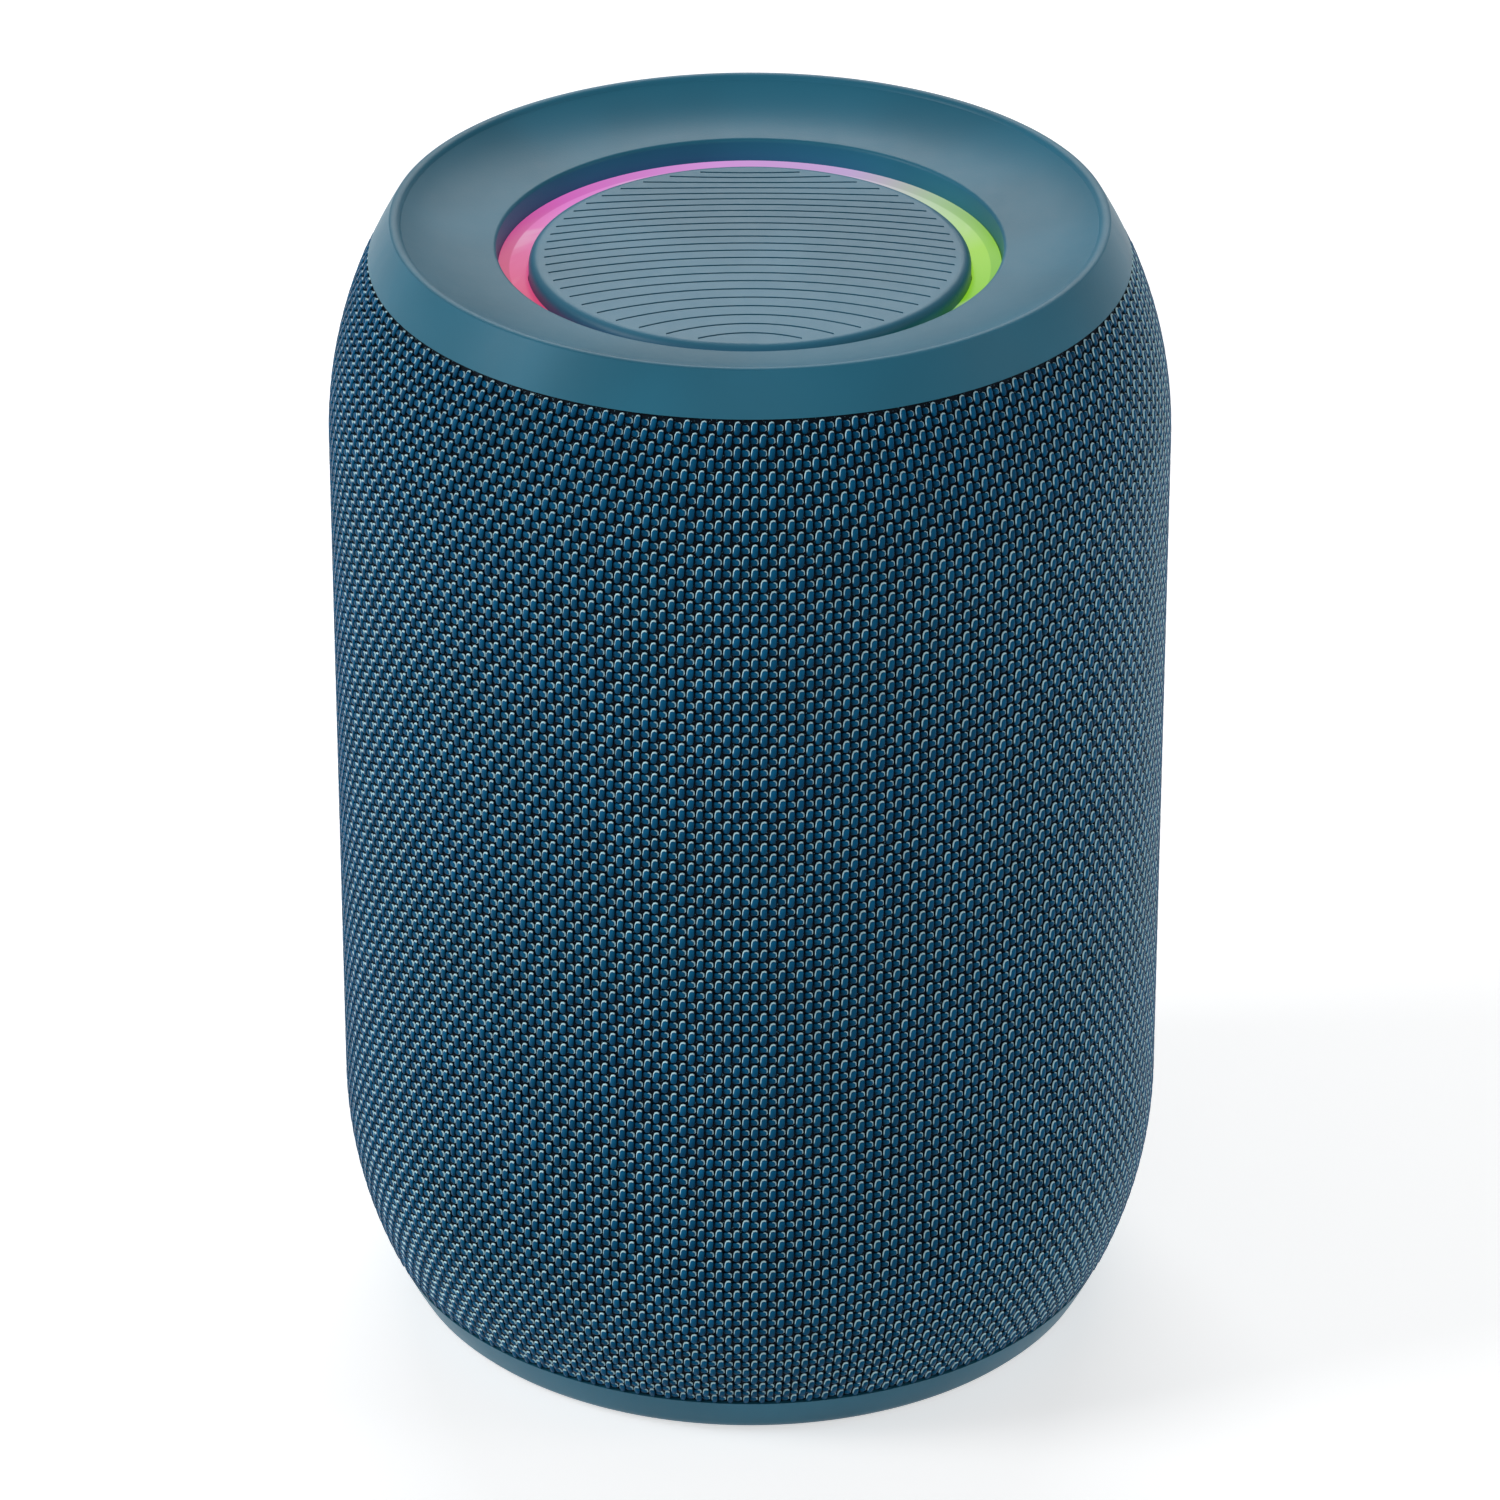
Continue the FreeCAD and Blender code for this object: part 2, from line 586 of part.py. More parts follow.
def make_top_disc():
    """Disc with a rounded edge, three posts below and a field of grooves whose bow changes on its face."""
    body = new_body("top_disc")
    revolve(body, [
        ("0", DISC_UNDER),
        ("disc_radius", DISC_UNDER),
        ("disc_radius", f"{DISC_FACE} - disc_edge", "disc_edge", "left"),
        ("disc_radius - disc_edge", DISC_FACE),
        ("0", DISC_FACE),
    ])
    sketch = new_sketch(body, "XY_Plane", DISC_UNDER)
    circle(sketch, "0", "post_circle", "post_radius")
    repeat_round(body, [pad(body, sketch, "post_length", backwards=True)], "3")
    count = int(number("groove_count"))
    for first in range(0, count, GROOVES_TO_A_SKETCH):
        sketch = new_sketch(body, "XY_Plane", DISC_FACE)
        for index in range(first, min(first + GROOVES_TO_A_SKETCH, count)):
            groove_outline(sketch, index)
        pocket(body, sketch, "groove_depth")


def groove_outline(sketch, index):
    """One groove: an arc through a crest on the middle line and two ends near the edge of the disc."""
    steps = (number("groove_count") - 1) / 2 - index
    ends_at = f"(fan_step * {steps} + fan_spread * {steps ** 3})"
    crest = f"(groove_first - groove_pitch * {index} - groove_growth * {index ** 2})"
    reach = f"(groove_reach * cos({ends_at}))"
    ends = f"(groove_reach * sin({ends_at}))"
    bow = f"({crest} - {ends})"
    bend = f"(({reach}^2 + {bow}^2) / (2 * abs({bow})))"
    onward, back = ("right", "left") if number(bow) > 0 else ("left", "right")
    loop(sketch, [
        (f"-{reach}", f"{ends} + groove_width / 2", bend, onward),
        (reach, f"{ends} + groove_width / 2"),
        (reach, f"{ends} - groove_width / 2", bend, back),
        (f"-{reach}", f"{ends} - groove_width / 2"),
    ])


def make_top_deck():
    """Deck across the cage that carries the disc, the diffuser and the light board, and stands on the lid."""
    body = new_body("top_deck")
    rim = shoulder(TONGUE_END, TONGUE_OUT)
    trough_in = "(disc_radius - deck_rib)"
    trough_out = "(glow_flange - deck_rib / 2)"
    disc_seat = DISC_UNDER
    glow_seat = high(f"{FLANGE_DROP} + flange_wall")
    revolve(body, [
        ("0", DECK_UNDER),
        ("skirt_radius", DECK_UNDER),
        ("skirt_radius", LID_TOP),
        ("skirt_radius + trim_wall", LID_TOP),
        ("skirt_radius + trim_wall", DECK_UNDER),
        (rim, DECK_UNDER),
        (rim, DECK_TOP),
        (f"{trough_out} + deck_rib", DECK_TOP),
        (f"{trough_out} + deck_rib", glow_seat),
        (trough_out, glow_seat),
        (trough_out, DECK_TOP),
        (trough_in, DECK_TOP),
        (trough_in, disc_seat),
        (f"{trough_in} - deck_rib", disc_seat),
        (f"{trough_in} - deck_rib", DECK_TOP),
        ("0", DECK_TOP),
    ])
    sketch = new_sketch(body, "XY_Plane", DECK_TOP)
    circle(sketch, "0", "post_circle", "post_radius + fit_gap")
    repeat_round(body, [pocket(body, sketch, "deck_wall")], "3")
    sketch = new_sketch(body, "XY_Plane", DECK_TOP)
    for x, y in corner_points("deck_screw_circle * sqrt(0.5)", "deck_screw_circle * sqrt(0.5)"):
        circle(sketch, x, y, "screw_radius + fit_gap")
    pocket(body, sketch, "deck_wall")


def make_light_board():
    """Annular circuit board in the trough of the deck."""
    body = new_body("light_board")
    inner, outer = "disc_radius - deck_rib + fit_gap", "glow_flange - deck_rib / 2 - fit_gap"
    ring(body, inner, outer, DECK_TOP, f"{DECK_TOP} + board_wall")


def make_leds():
    """Lamps spaced evenly on the light board, a group of separate solids."""
    body = new_body("leds")
    sketch = new_sketch(body, "XY_Plane", f"{DECK_TOP} + board_wall")
    rectangle(sketch, "0", "(recess_radius + disc_radius) / 2", "led_length", "led_width")
    repeat_round(body, [pad(body, sketch, "led_height")], "led_count")


# ---------------------------------------------------------------- sealed enclosure
def box_outline(sketch, inset):
    """Round box with four flats: front, right, rear and left, all set in by the same amount."""
    front, side, rear = (f"({flat} - ({inset}))" for flat in ("front_flat", "side_flat", "rear_flat"))
    bend = f"(box_radius - ({inset}))"

    def along(flat):
        return f"sqrt({bend}^2 - {flat}^2)"

    loop(sketch, [
        (along(front), f"-{front}", bend, "left"),
        (side, f"-{along(side)}"),
        (side, along(side), bend, "left"),
        (along(rear), rear),
        (f"-{along(rear)}", rear, bend, "left"),
        (f"-{side}", along(side)),
        (f"-{side}", f"-{along(side)}", bend, "left"),
        (f"-{along(front)}", f"-{front}"),
    ])


def make_enclosure():
    """Sealed sound box: openings for the driver and radiators, bosses for the lid, cover and board."""
    body = new_body("enclosure")
    outline = new_sketch(body, "XY_Plane", "box_base")
    box_outline(outline, "0")
    pad(body, outline, "box_top - box_base")
    hollow = new_sketch(body, "XY_Plane", "box_top")
    box_outline(hollow, "box_wall")
    pocket(body, hollow, "box_top - box_base - box_wall")
    bosses = new_sketch(body, "XY_Plane", "box_base")
    for x, y in corner_points("lid_screw_x", "lid_screw_y"):
        circle(bosses, x, y, "boss_radius")
    pad(body, bosses, "box_top - box_base")
    bores = new_sketch(body, "XY_Plane", "box_top")
    for x, y in corner_points("lid_screw_x", "lid_screw_y"):
        circle(bores, x, y, "screw_radius")
    pocket(body, bores, "lid_screw_reach")
    mouth = new_sketch(body, "XZ_Plane", "front_flat")
    circle(mouth, "0", "driver_level", "basket_radius + fit_gap")
    for x, z in corner_points(DRIVER_SCREWS, DRIVER_SCREWS):
        circle(mouth, x, f"driver_level + {z}", "screw_radius")
    pocket(body, mouth, "box_wall")
    sides = new_sketch(body, "YZ_Plane")
    circle(sides, "0", "driver_level", "passive_mouth")
    pocket(body, sides, "2 * side_flat", both=True)
    legs = new_sketch(body, "XY_Plane", "box_base")
    shelf = new_sketch(body, "XY_Plane", "box_base")
    spot = "base_screw_circle * sqrt(0.5)"
    for x, y in corner_points(spot, spot):
        circle(legs, x, y, "leg_radius")
        circle(shelf, x, y, "leg_shelf")
    pad(body, legs, f"box_base - {COVER_TOP}", backwards=True)
    pad(body, shelf, "box_base - main_board_level - board_wall", backwards=True)
    bores = new_sketch(body, "XY_Plane", COVER_TOP)
    for x, y in corner_points(spot, spot):
        circle(bores, x, y, "screw_radius")
    pocket(body, bores, "base_screw_reach", backwards=True)
    standoffs = new_sketch(body, "XZ_Plane", "-rear_flat")
    across, upward = "(panel_width / 2 - standoff_radius)", "(panel_length / 2 - 2 * standoff_radius)"
    for x, z in corner_points(across, upward):
        circle(standoffs, x, f"{z} + panel_base + panel_length / 2", "standoff_radius")
    pad(body, standoffs, "board_standoff", backwards=True)


def make_enclosure_lid():
    """Lid of the sound box, with holes for its screws and posts for the deck."""
    body = new_body("enclosure_lid")
    outline = new_sketch(body, "XY_Plane", LID_UNDER)
    box_outline(outline, "0")
    pad(body, outline, "lid_wall")
    holes = new_sketch(body, "XY_Plane", LID_TOP)
    for x, y in corner_points("lid_screw_x", "lid_screw_y"):
        circle(holes, x, y, "screw_radius + fit_gap")
    pocket(body, holes, "lid_wall")
    posts = new_sketch(body, "XY_Plane", LID_TOP)
    spot = "deck_screw_circle * sqrt(0.5)"
    for x, y in corner_points(spot, spot):
        circle(posts, x, y, "boss_radius - fit_gap")
    pad(body, posts, f"{DECK_UNDER} - {LID_TOP}")
    bores = new_sketch(body, "XY_Plane", DECK_UNDER)
    for x, y in corner_points(spot, spot):
        circle(bores, x, y, "screw_radius")
    pocket(body, bores, f"{DECK_UNDER} - {LID_TOP}")


def make_lid_gasket():
    """Gasket between the sound box and its lid."""
    body = new_body("lid_gasket")
    outline = new_sketch(body, "XY_Plane", "box_top")
    box_outline(outline, "0")
    pad(body, outline, "gasket_wall")
    middle = new_sketch(body, "XY_Plane", LID_UNDER)
    box_outline(middle, "box_wall")
    pocket(body, middle, "gasket_wall")


# ---------------------------------------------------------------- base
def make_bottom_cover():
    """Round cover in the base ring, with a groove for the foot and sunk holes for the screws."""
    body = new_body("bottom_cover")
    revolve(body, [
        ("0", low("0")),
        ("foot_inner - fit_gap", low("0")),
        ("foot_inner - fit_gap", low("foot_sunk")),
        ("foot_outer + fit_gap", low("foot_sunk")),
        ("foot_outer + fit_gap", low("0")),
        ("cover_radius - fit_gap", low("0")),
        ("cover_radius - fit_gap", COVER_TOP),
        ("0", COVER_TOP),
    ])
    spot = "base_screw_circle * sqrt(0.5)"
    for radius, depth in (
        ("head_radius + fit_gap", "head_height + fit_gap"),
        ("screw_radius + fit_gap", "cover_wall"),
    ):
        sketch = new_sketch(body, "XY_Plane", low("0"))
        for x, y in corner_points(spot, spot):
            circle(sketch, x, y, radius)
        pocket(body, sketch, depth, backwards=True)


def make_foot_ring():
    """Rubber ring that the speaker stands on."""
    body = new_body("foot_ring")
    revolve(body, [
        ("foot_inner + foot_bevel", "0"),
        ("foot_outer - foot_bevel", "0"),
        ("foot_outer", "foot_bevel"),
        ("foot_outer", low("foot_sunk")),
        ("foot_inner", low("foot_sunk")),
        ("foot_inner", "foot_bevel"),
    ])


def make_main_board():
    """Round main circuit board under the sound box, on the shoulders of its legs."""
    body = new_body("main_board")
    spot = "base_screw_circle * sqrt(0.5)"
    sketch = new_sketch(body, "XY_Plane", "main_board_level")
    circle(sketch, "0", "0", "main_board_radius")
    for x, y in corner_points(spot, spot):
        circle(sketch, x, y, "leg_radius + fit_gap")
    pad(body, sketch, "board_wall")


BOARD_CHIPS = (  # across, fore and aft, width, depth, as shares of the board's radius
    (-0.36, 0, 0.30, 0.30),
    (0.26, -0.42, 0.22, 0.22),
    (0.33, 0, 0.40, 0.20),
)
BOARD_CANS = (  # across, fore and aft, radius, as shares of the board's radius
    (-0.2, 0.64, 0.08),
    (0.1, 0.64, 0.08),
    (-0.13, -0.68, 0.08),
    (-0.72, 0, 0.08),
)


def make_board_parts():
    """Larger parts on the main board: amplifier, controller, coils and capacitors, as separate solids."""
    body = new_body("board_parts")
    top = "(main_board_level + board_wall)"
    chips = new_sketch(body, "XY_Plane", top)
    for chip in BOARD_CHIPS:
        rectangle(chips, *(f"main_board_radius * {share}" for share in chip))
    pad(body, chips, "chip_height")
    cans = new_sketch(body, "XY_Plane", top)
    for can in BOARD_CANS:
        circle(cans, *(f"main_board_radius * {share}" for share in can))
    pad(body, cans, "can_height")


# ---------------------------------------------------------------- driver, drawn along its own axis
PLATE_FRONT = "(gasket_wall - basket_depth)"
MAGNET_FRONT = f"({PLATE_FRONT} - basket_wall - plate_wall)"
MAGNET_BACK = f"({MAGNET_FRONT} - magnet_wall)"
FLANGE_FACE = "(gasket_wall + driver_flange)"
CONE_EDGE = "(gasket_wall + driver_flange / 2)"
CONE_NECK = f"({CONE_EDGE} - cone_depth)"


def at_driver(body):
    """Put a piece of the driver on the front face of the enclosure, facing forwards."""
    place(body, y="-front_flat", z="driver_level", turn=FACE_FRONT)


def make_driver():
    """Full-range driver: gasket, basket, motor, voice coil, cone, dust cap, surround and spider."""
    gasket = new_body("driver_gasket")
    ring(gasket, "basket_radius + fit_gap", "driver_radius", "0", "gasket_wall")
    holes = new_sketch(gasket, "XY_Plane", "gasket_wall")
    for x, y in corner_points(DRIVER_SCREWS, DRIVER_SCREWS):
        circle(holes, x, y, "screw_radius")
    pocket(gasket, holes, "gasket_wall")
    frame = new_body("driver_frame")
    revolve(frame, [
        ("basket_radius - basket_wall", FLANGE_FACE),
        ("driver_radius", FLANGE_FACE),
        ("driver_radius", "gasket_wall"),
        ("basket_radius", "gasket_wall"),
        ("basket_radius", "gasket_wall - box_wall"),
        ("basket_neck", f"{PLATE_FRONT} - basket_wall"),
        ("coil_radius + 2 * coil_gap", f"{PLATE_FRONT} - basket_wall"),
        ("coil_radius + 2 * coil_gap", PLATE_FRONT),
        ("basket_neck - basket_wall", PLATE_FRONT),
        ("basket_radius - basket_wall", "gasket_wall - box_wall"),
    ])
    windows = new_sketch(frame, "XZ_Plane")
    rectangle(windows, "0", "gasket_wall - (basket_depth + box_wall) / 2", "basket_neck", "basket_depth / 2")
    repeat_round(frame, [pocket(frame, windows)], "4")
    holes = new_sketch(frame, "XY_Plane", FLANGE_FACE)
    for x, y in corner_points(DRIVER_SCREWS, DRIVER_SCREWS):
        circle(holes, x, y, "screw_radius + fit_gap")
    pocket(frame, holes, "driver_flange")
    plate = new_body("driver_plate")
    ring(plate, "coil_radius + coil_gap", "magnet_radius + coil_wall",
         MAGNET_FRONT, f"{MAGNET_FRONT} + plate_wall")
    magnet = new_body("driver_magnet")
    ring(magnet, "coil_radius + 5 * coil_gap", "magnet_radius", MAGNET_BACK, MAGNET_FRONT)
    yoke = new_body("driver_yoke")
    revolve(yoke, [
        ("0", f"{MAGNET_BACK} - plate_wall"),
        ("magnet_radius", f"{MAGNET_BACK} - plate_wall"),
        ("magnet_radius", MAGNET_BACK),
        ("pole_radius", MAGNET_BACK),
        ("pole_radius", f"{MAGNET_FRONT} + plate_wall"),
        ("0", f"{MAGNET_FRONT} + plate_wall"),
    ])
    coil = new_body("voice_coil")
    ring(coil, "coil_radius - coil_wall", "coil_radius", f"{MAGNET_FRONT} - coil_gap", CONE_NECK)
    cone = new_body("driver_cone")
    revolve(cone, [
        ("coil_radius - coil_wall", CONE_NECK),
        ("coil_radius + cone_wall", CONE_NECK),
        ("cone_radius", CONE_EDGE),
        ("cone_radius", f"{CONE_EDGE} + cone_wall"),
        ("cone_radius - cone_wall", f"{CONE_EDGE} + cone_wall"),
        ("coil_radius - coil_wall", f"{CONE_NECK} + cone_wall"),
    ])
    cap = new_body("dust_cap")
    slope = f"(({CONE_EDGE} - {CONE_NECK}) / (cone_radius - cone_wall - coil_radius + coil_wall))"
    seat = f"({CONE_NECK} + cone_wall + fit_gap + (cap_radius - coil_radius + coil_wall) * {slope})"
    crown, bent = f"({seat} + cap_rise)", "(cap_radius * 0.6)"
    revolve(cap, [
        ("cap_radius - 2 * cone_wall", seat),
        ("cap_radius", seat),
        (bent, f"{crown} - cone_wall"),
        ("0", crown),
        ("0", f"{crown} - cone_wall"),
        (f"{bent} - cone_wall", f"{crown} - 2 * cone_wall"),
    ])
    roll(new_body("driver_surround"), "cone_radius", "basket_radius - basket_wall", CONE_EDGE, "roll_radius")
    spider = new_body("driver_spider")
    level = f"({CONE_NECK} - 3 * coil_gap)"
    ring(spider, "coil_radius + coil_gap / 2", "basket_neck", level, f"{level} + cone_wall")
    for body in (gasket, frame, plate, magnet, yoke, coil, cone, cap, pieces[-2], spider):
        at_driver(body)


def roll(body, inner, outer, level, rise):
    """Surround: flat lands inside and outside, joined by a raised roll."""
    middle = f"(({inner} + ({outer})) / 2)"
    near, far = f"({inner} + fit_gap)", f"({outer} - fit_gap)"
    under, over = [], []
    corners = ((f"- {rise}", "0"), (f"- {rise} / 2", rise), (f"+ {rise} / 2", rise), (f"+ {rise}", "0"))
    for run, height in corners:
        under.append((f"{middle} {run}", f"{level} + {height}"))
        over.append((f"{middle} {run}", f"{level} + {height} + roll_wall"))
    revolve(body, [(near, level)] + under + [(far, level), (far, f"{level} + roll_wall")] + over[::-1]
            + [(near, f"{level} + roll_wall")])


def make_passive_radiator(side, across, turn):
    """Passive radiator on one side: frame, stiff disc and surround."""
    frame = new_body(f"{side}_radiator_frame")
    revolve(frame, [
        ("passive_mouth - passive_flange / 2", "-box_wall"),
        ("passive_mouth - fit_gap", "-box_wall"),
        ("passive_mouth - fit_gap", "0"),
        ("passive_radius", "0"),
        ("passive_radius", "passive_flange"),
        ("passive_mouth - passive_flange / 2", "passive_flange"),
    ])
    disc = new_body(f"{side}_radiator")
    ring(disc, "0", "passive_disc", "-passive_wall / 2", "passive_wall / 2")
    surround = new_body(f"{side}_radiator_surround")
    roll(surround, "passive_disc", "passive_mouth - passive_flange / 2", "-roll_wall / 2", "passive_roll")
    for body in (frame, disc, surround):
        place(body, x=across, z="driver_level", turn=turn)


# ---------------------------------------------------------------- battery
def make_battery():
    """Two upright cells in a holder against the rear wall of the sound box."""
    cells = new_body("battery_cells")
    sketch = new_sketch(cells, "XY_Plane", "cell_base")
    for side in ("", "-"):
        circle(sketch, f"{side}(cell_radius + fit_gap)", "cell_behind", "cell_radius")
    pad(cells, sketch, "cell_length")
    holder = new_body("battery_holder")
    sketch = new_sketch(holder, "YZ_Plane")
    back, face = "(rear_flat - box_wall)", "(cell_behind + cell_radius)"
    floor, roof = "(cell_base - holder_wall)", "(cell_base + cell_length + holder_wall)"
    front = "(cell_behind - cell_radius / 2)"
    loop(sketch, [
        (front, floor),
        (back, floor),
        (back, roof),
        (front, roof),
        (front, "cell_base + cell_length"),
        (face, "cell_base + cell_length"),
        (face, "cell_base"),
        (front, "cell_base"),
    ])
    pad(holder, sketch, "4 * (cell_radius + fit_gap)", both=True)


# ---------------------------------------------------------------- rear control strip
BUTTON_NAMES = ("mode_button", "minus_button", "play_button", "plus_button", "power_button")


def make_control_panel():
    """Curved panel in the rear opening: holes for five buttons and the flap, a flange behind the cage."""
    body = new_body("control_panel")
    top = "panel_base + panel_length"
    lip_face = f"({PANEL_BACK} - panel_lip_wall)"
    for surface, grow in ((PANEL_BACK, "panel_lip"), (PANEL_FACE, "0")):
        outline = new_sketch(body)
        pill(outline, "panel_width", "panel_base", top, grow)
        pad(body, outline, "body_radius", backwards=True)
        revolve(body, [
            (surface, low("0")),
            ("2 * body_radius", low("0")),
            ("2 * body_radius", high("0")),
            (surface, high("0")),
        ], "Groove")
    rim = new_sketch(body, "XY_Plane")
    circle(rim, "0", "0", lip_face)
    pocket(body, rim, "2 * skin_height", both=True)
    holes = new_sketch(body)
    for index in range(len(BUTTON_NAMES)):
        circle(holes, "0", f"button_first + {index} * button_pitch", "button_radius + run_gap")
    rectangle(holes, "0", "port_level",
              "flap_width + 2 * run_gap", "flap_height + 2 * run_gap + hinge_radius")
    pocket(body, holes)


def make_button(label, index):
    """Round push button: cap, flange behind the panel and a stem over its switch."""
    body = new_body(label)
    wide = "(button_radius + button_flange)"
    behind = f"({PANEL_BACK} - panel_lip_wall)"
    flange = f"(sqrt({behind}^2 - {wide}^2) - run_gap - button_flange_wall)"
    tip = f"({SWITCH_FACE} + switch_height + plunger_height + button_travel + fit_gap)"
    crown = f"({PANEL_FACE} + panel_sunk / 2)"
    revolve(body, [
        ("0", tip),
        ("button_stem", tip),
        ("button_stem", flange),
        (wide, flange),
        (wide, f"{flange} + button_flange_wall"),
        ("button_radius", f"{flange} + button_flange_wall"),
        ("button_radius", f"{crown} - button_bevel"),
        ("button_radius - button_bevel", crown),
        ("0", crown),
    ])
    place(body, z=f"button_first + {index} * button_pitch", turn=FACE_REAR)


def make_switch_board():
    """Upright circuit board behind the panel, on the standoffs of the sound box, with its switches."""
    board = new_body("switch_board")
    sketch = new_sketch(board, "XZ_Plane", "-(rear_flat + board_standoff)")
    rectangle(sketch, "0", "panel_base + panel_length / 2", "panel_width", "panel_length - standoff_radius")
    pad(board, sketch, "board_wall", backwards=True)
    switches = new_body("tact_switches")
    bodies = new_sketch(switches, "XZ_Plane", f"-{SWITCH_FACE}")
    plungers = new_sketch(switches, "XZ_Plane", f"-({SWITCH_FACE} + switch_height)")
    for index in range(len(BUTTON_NAMES)):
        level = f"button_first + {index} * button_pitch"
        rectangle(bodies, "0", level, "switch_size", "switch_size")
        circle(plungers, "0", level, "switch_size / 4")
    pad(switches, bodies, "switch_height", backwards=True)
    pad(switches, plungers, "plunger_height", backwards=True)


def make_usb_port():
    """Upright-mounted charge port: oval shell with a tongue, opening to the rear behind the flap."""
    body = new_body("usb_port")
    mouth = f"({HINGE_BEHIND} - flap_wall / 2 - plug_wall - run_gap)"
    for inset, kind, back in (("0", "Pad", "0"), ("port_wall", "Pocket", "port_back")):
        sketch = new_sketch(body, "XZ_Plane", f"-({SWITCH_FACE} + {back})")
        half, end = f"(port_height / 2 - {inset})", "(port_width / 2 - port_height / 2)"
        loop(sketch, [
            (f"-{end}", f"port_level - {half}"),
            (end, f"port_level - {half}", half, "left"),
            (end, f"port_level + {half}"),
            (f"-{end}", f"port_level + {half}", half, "left"),
        ])
        depth = f"{mouth} - {SWITCH_FACE}"
        if kind == "Pad":
            pad(body, sketch, depth, backwards=True)
        else:
            pocket(body, sketch, depth)
    sketch = new_sketch(body, "XZ_Plane", f"-{SWITCH_FACE}")
    rectangle(sketch, "0", "port_level", "port_width - port_height", "port_tongue")
    pad(body, sketch, f"{mouth} - {SWITCH_FACE} - port_back", backwards=True)


def make_port_flap():
    """Rubber flap over the charge port, turning on its rolled lower edge."""
    body = new_body("port_flap")
    top = f"(flap_height - 2 * hinge_radius)"
    sketch = new_sketch(body)
    half = "flap_width / 2"
    loop(sketch, [
        (f"-{half}", "0"),
        (half, "0"),
        (half, f"{top} + hinge_radius - flap_corner", "flap_corner", "left"),
        (f"{half} - flap_corner", f"{top} + hinge_radius"),
        (f"flap_corner - {half}", f"{top} + hinge_radius", "flap_corner", "left"),
        (f"-{half}", f"{top} + hinge_radius - flap_corner"),
    ])
    pad(body, sketch, "flap_wall", both=True)
    barrel = new_sketch(body, "YZ_Plane")
    circle(barrel, "0", "0", "hinge_radius")
    pad(body, barrel, "flap_width", both=True)
    plug = new_sketch(body, "XZ_Plane", "flap_wall / 2")
    rectangle(plug, "0", f"port_level - {HINGE_LEVEL}", "port_width", "port_height")
    pad(body, plug, "plug_wall")
    place(body, y=HINGE_BEHIND, z=HINGE_LEVEL)


# ---------------------------------------------------------------- screws
def make_screws(label, spots, level, reach, head_below=False):
    """Group of equal pan-head screws, drawn with the underside of the heads at the level."""
    body = new_body(label)
    heads = new_sketch(body, "XY_Plane", level)
    shanks = new_sketch(body, "XY_Plane", level)
    for x, y in spots:
        circle(heads, x, y, "head_radius")
        circle(shanks, x, y, "screw_radius - thread_play")
    pad(body, heads, "head_height", backwards=head_below)
    pad(body, shanks, reach, backwards=not head_below)
    return body


def make_all_screws():
    """Screws of the lid, the deck, the driver and the bottom cover."""
    spot = "deck_screw_circle * sqrt(0.5)"
    make_screws("deck_screws", corner_points(spot, spot), DECK_TOP, "deck_screw_reach")
    make_screws("lid_screws", corner_points("lid_screw_x", "lid_screw_y"), LID_TOP, "lid_screw_reach")
    spot = "base_screw_circle * sqrt(0.5)"
    make_screws("base_screws", corner_points(spot, spot), low("head_height + fit_gap"),
                "base_screw_reach - thread_play", head_below=True)
    reach = "driver_flange + gasket_wall + driver_screw_bite"
    at_driver(make_screws("driver_screws", corner_points(DRIVER_SCREWS, DRIVER_SCREWS), FLANGE_FACE, reach))


# ---------------------------------------------------------------- the speaker
def build():
    make_top_ring()
    make_base_ring()
    make_fabric_sleeve()
    make_grille_cage()
    make_light_ring()
    make_top_disc()
    make_top_deck()
    make_light_board()
    make_leds()
    make_enclosure()
    make_enclosure_lid()
    make_lid_gasket()
    make_bottom_cover()
    make_foot_ring()
    make_main_board()
    make_board_parts()
    make_driver()
    make_passive_radiator("right", "side_flat", FACE_RIGHT)
    make_passive_radiator("left", "-side_flat", FACE_LEFT)
    make_battery()
    make_control_panel()
    for index, label in enumerate(BUTTON_NAMES):
        make_button(label, index)
    make_switch_board()
    make_usb_port()
    make_port_flap()
    make_all_screws()


def write_parts():
    """Check every object and every piece, then write one STEP file for each piece."""
    doc.recompute()
    for thing in doc.Objects:
        if "Invalid" in thing.State or "Error" in thing.State:
            raise RuntimeError(f"{thing.Label} failed: {thing.State}")
    for body in pieces:
        if body.Shape.isNull() or not body.Shape.isValid() or not body.Shape.Solids:
            raise RuntimeError(f"{body.Label} has no valid solid")
    os.makedirs("parts", exist_ok=True)
    for body in pieces:
        body.Shape.exportStep(f"parts/{body.Label}.step")
        box = body.Shape.BoundBox
        print(f"{body.Label:26s} {len(body.Shape.Solids):2d} solids {body.Shape.Volume:10.1f} mm3"
              f"  x {box.XMin:7.2f} {box.XMax:7.2f}  y {box.YMin:7.2f} {box.YMax:7.2f}"
              f"  z {box.ZMin:7.2f} {box.ZMax:7.2f}")


build()
write_parts()
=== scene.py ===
# %% [markdown]
# # A portable speaker in woven cloth
# A barrel of woven cloth sits between two moulded rings. The upper ring carries a shallow dish, a ring of light
# and a grooved disc. At the back a strip of soft plastic holds five buttons and a flap over the charge port.
# The solids come ready from the CAD model. This lesson dresses them: it weaves the cloth, writes the finishes
# and sets up the studio.

# %% Load the model
import cmath
import json
import math

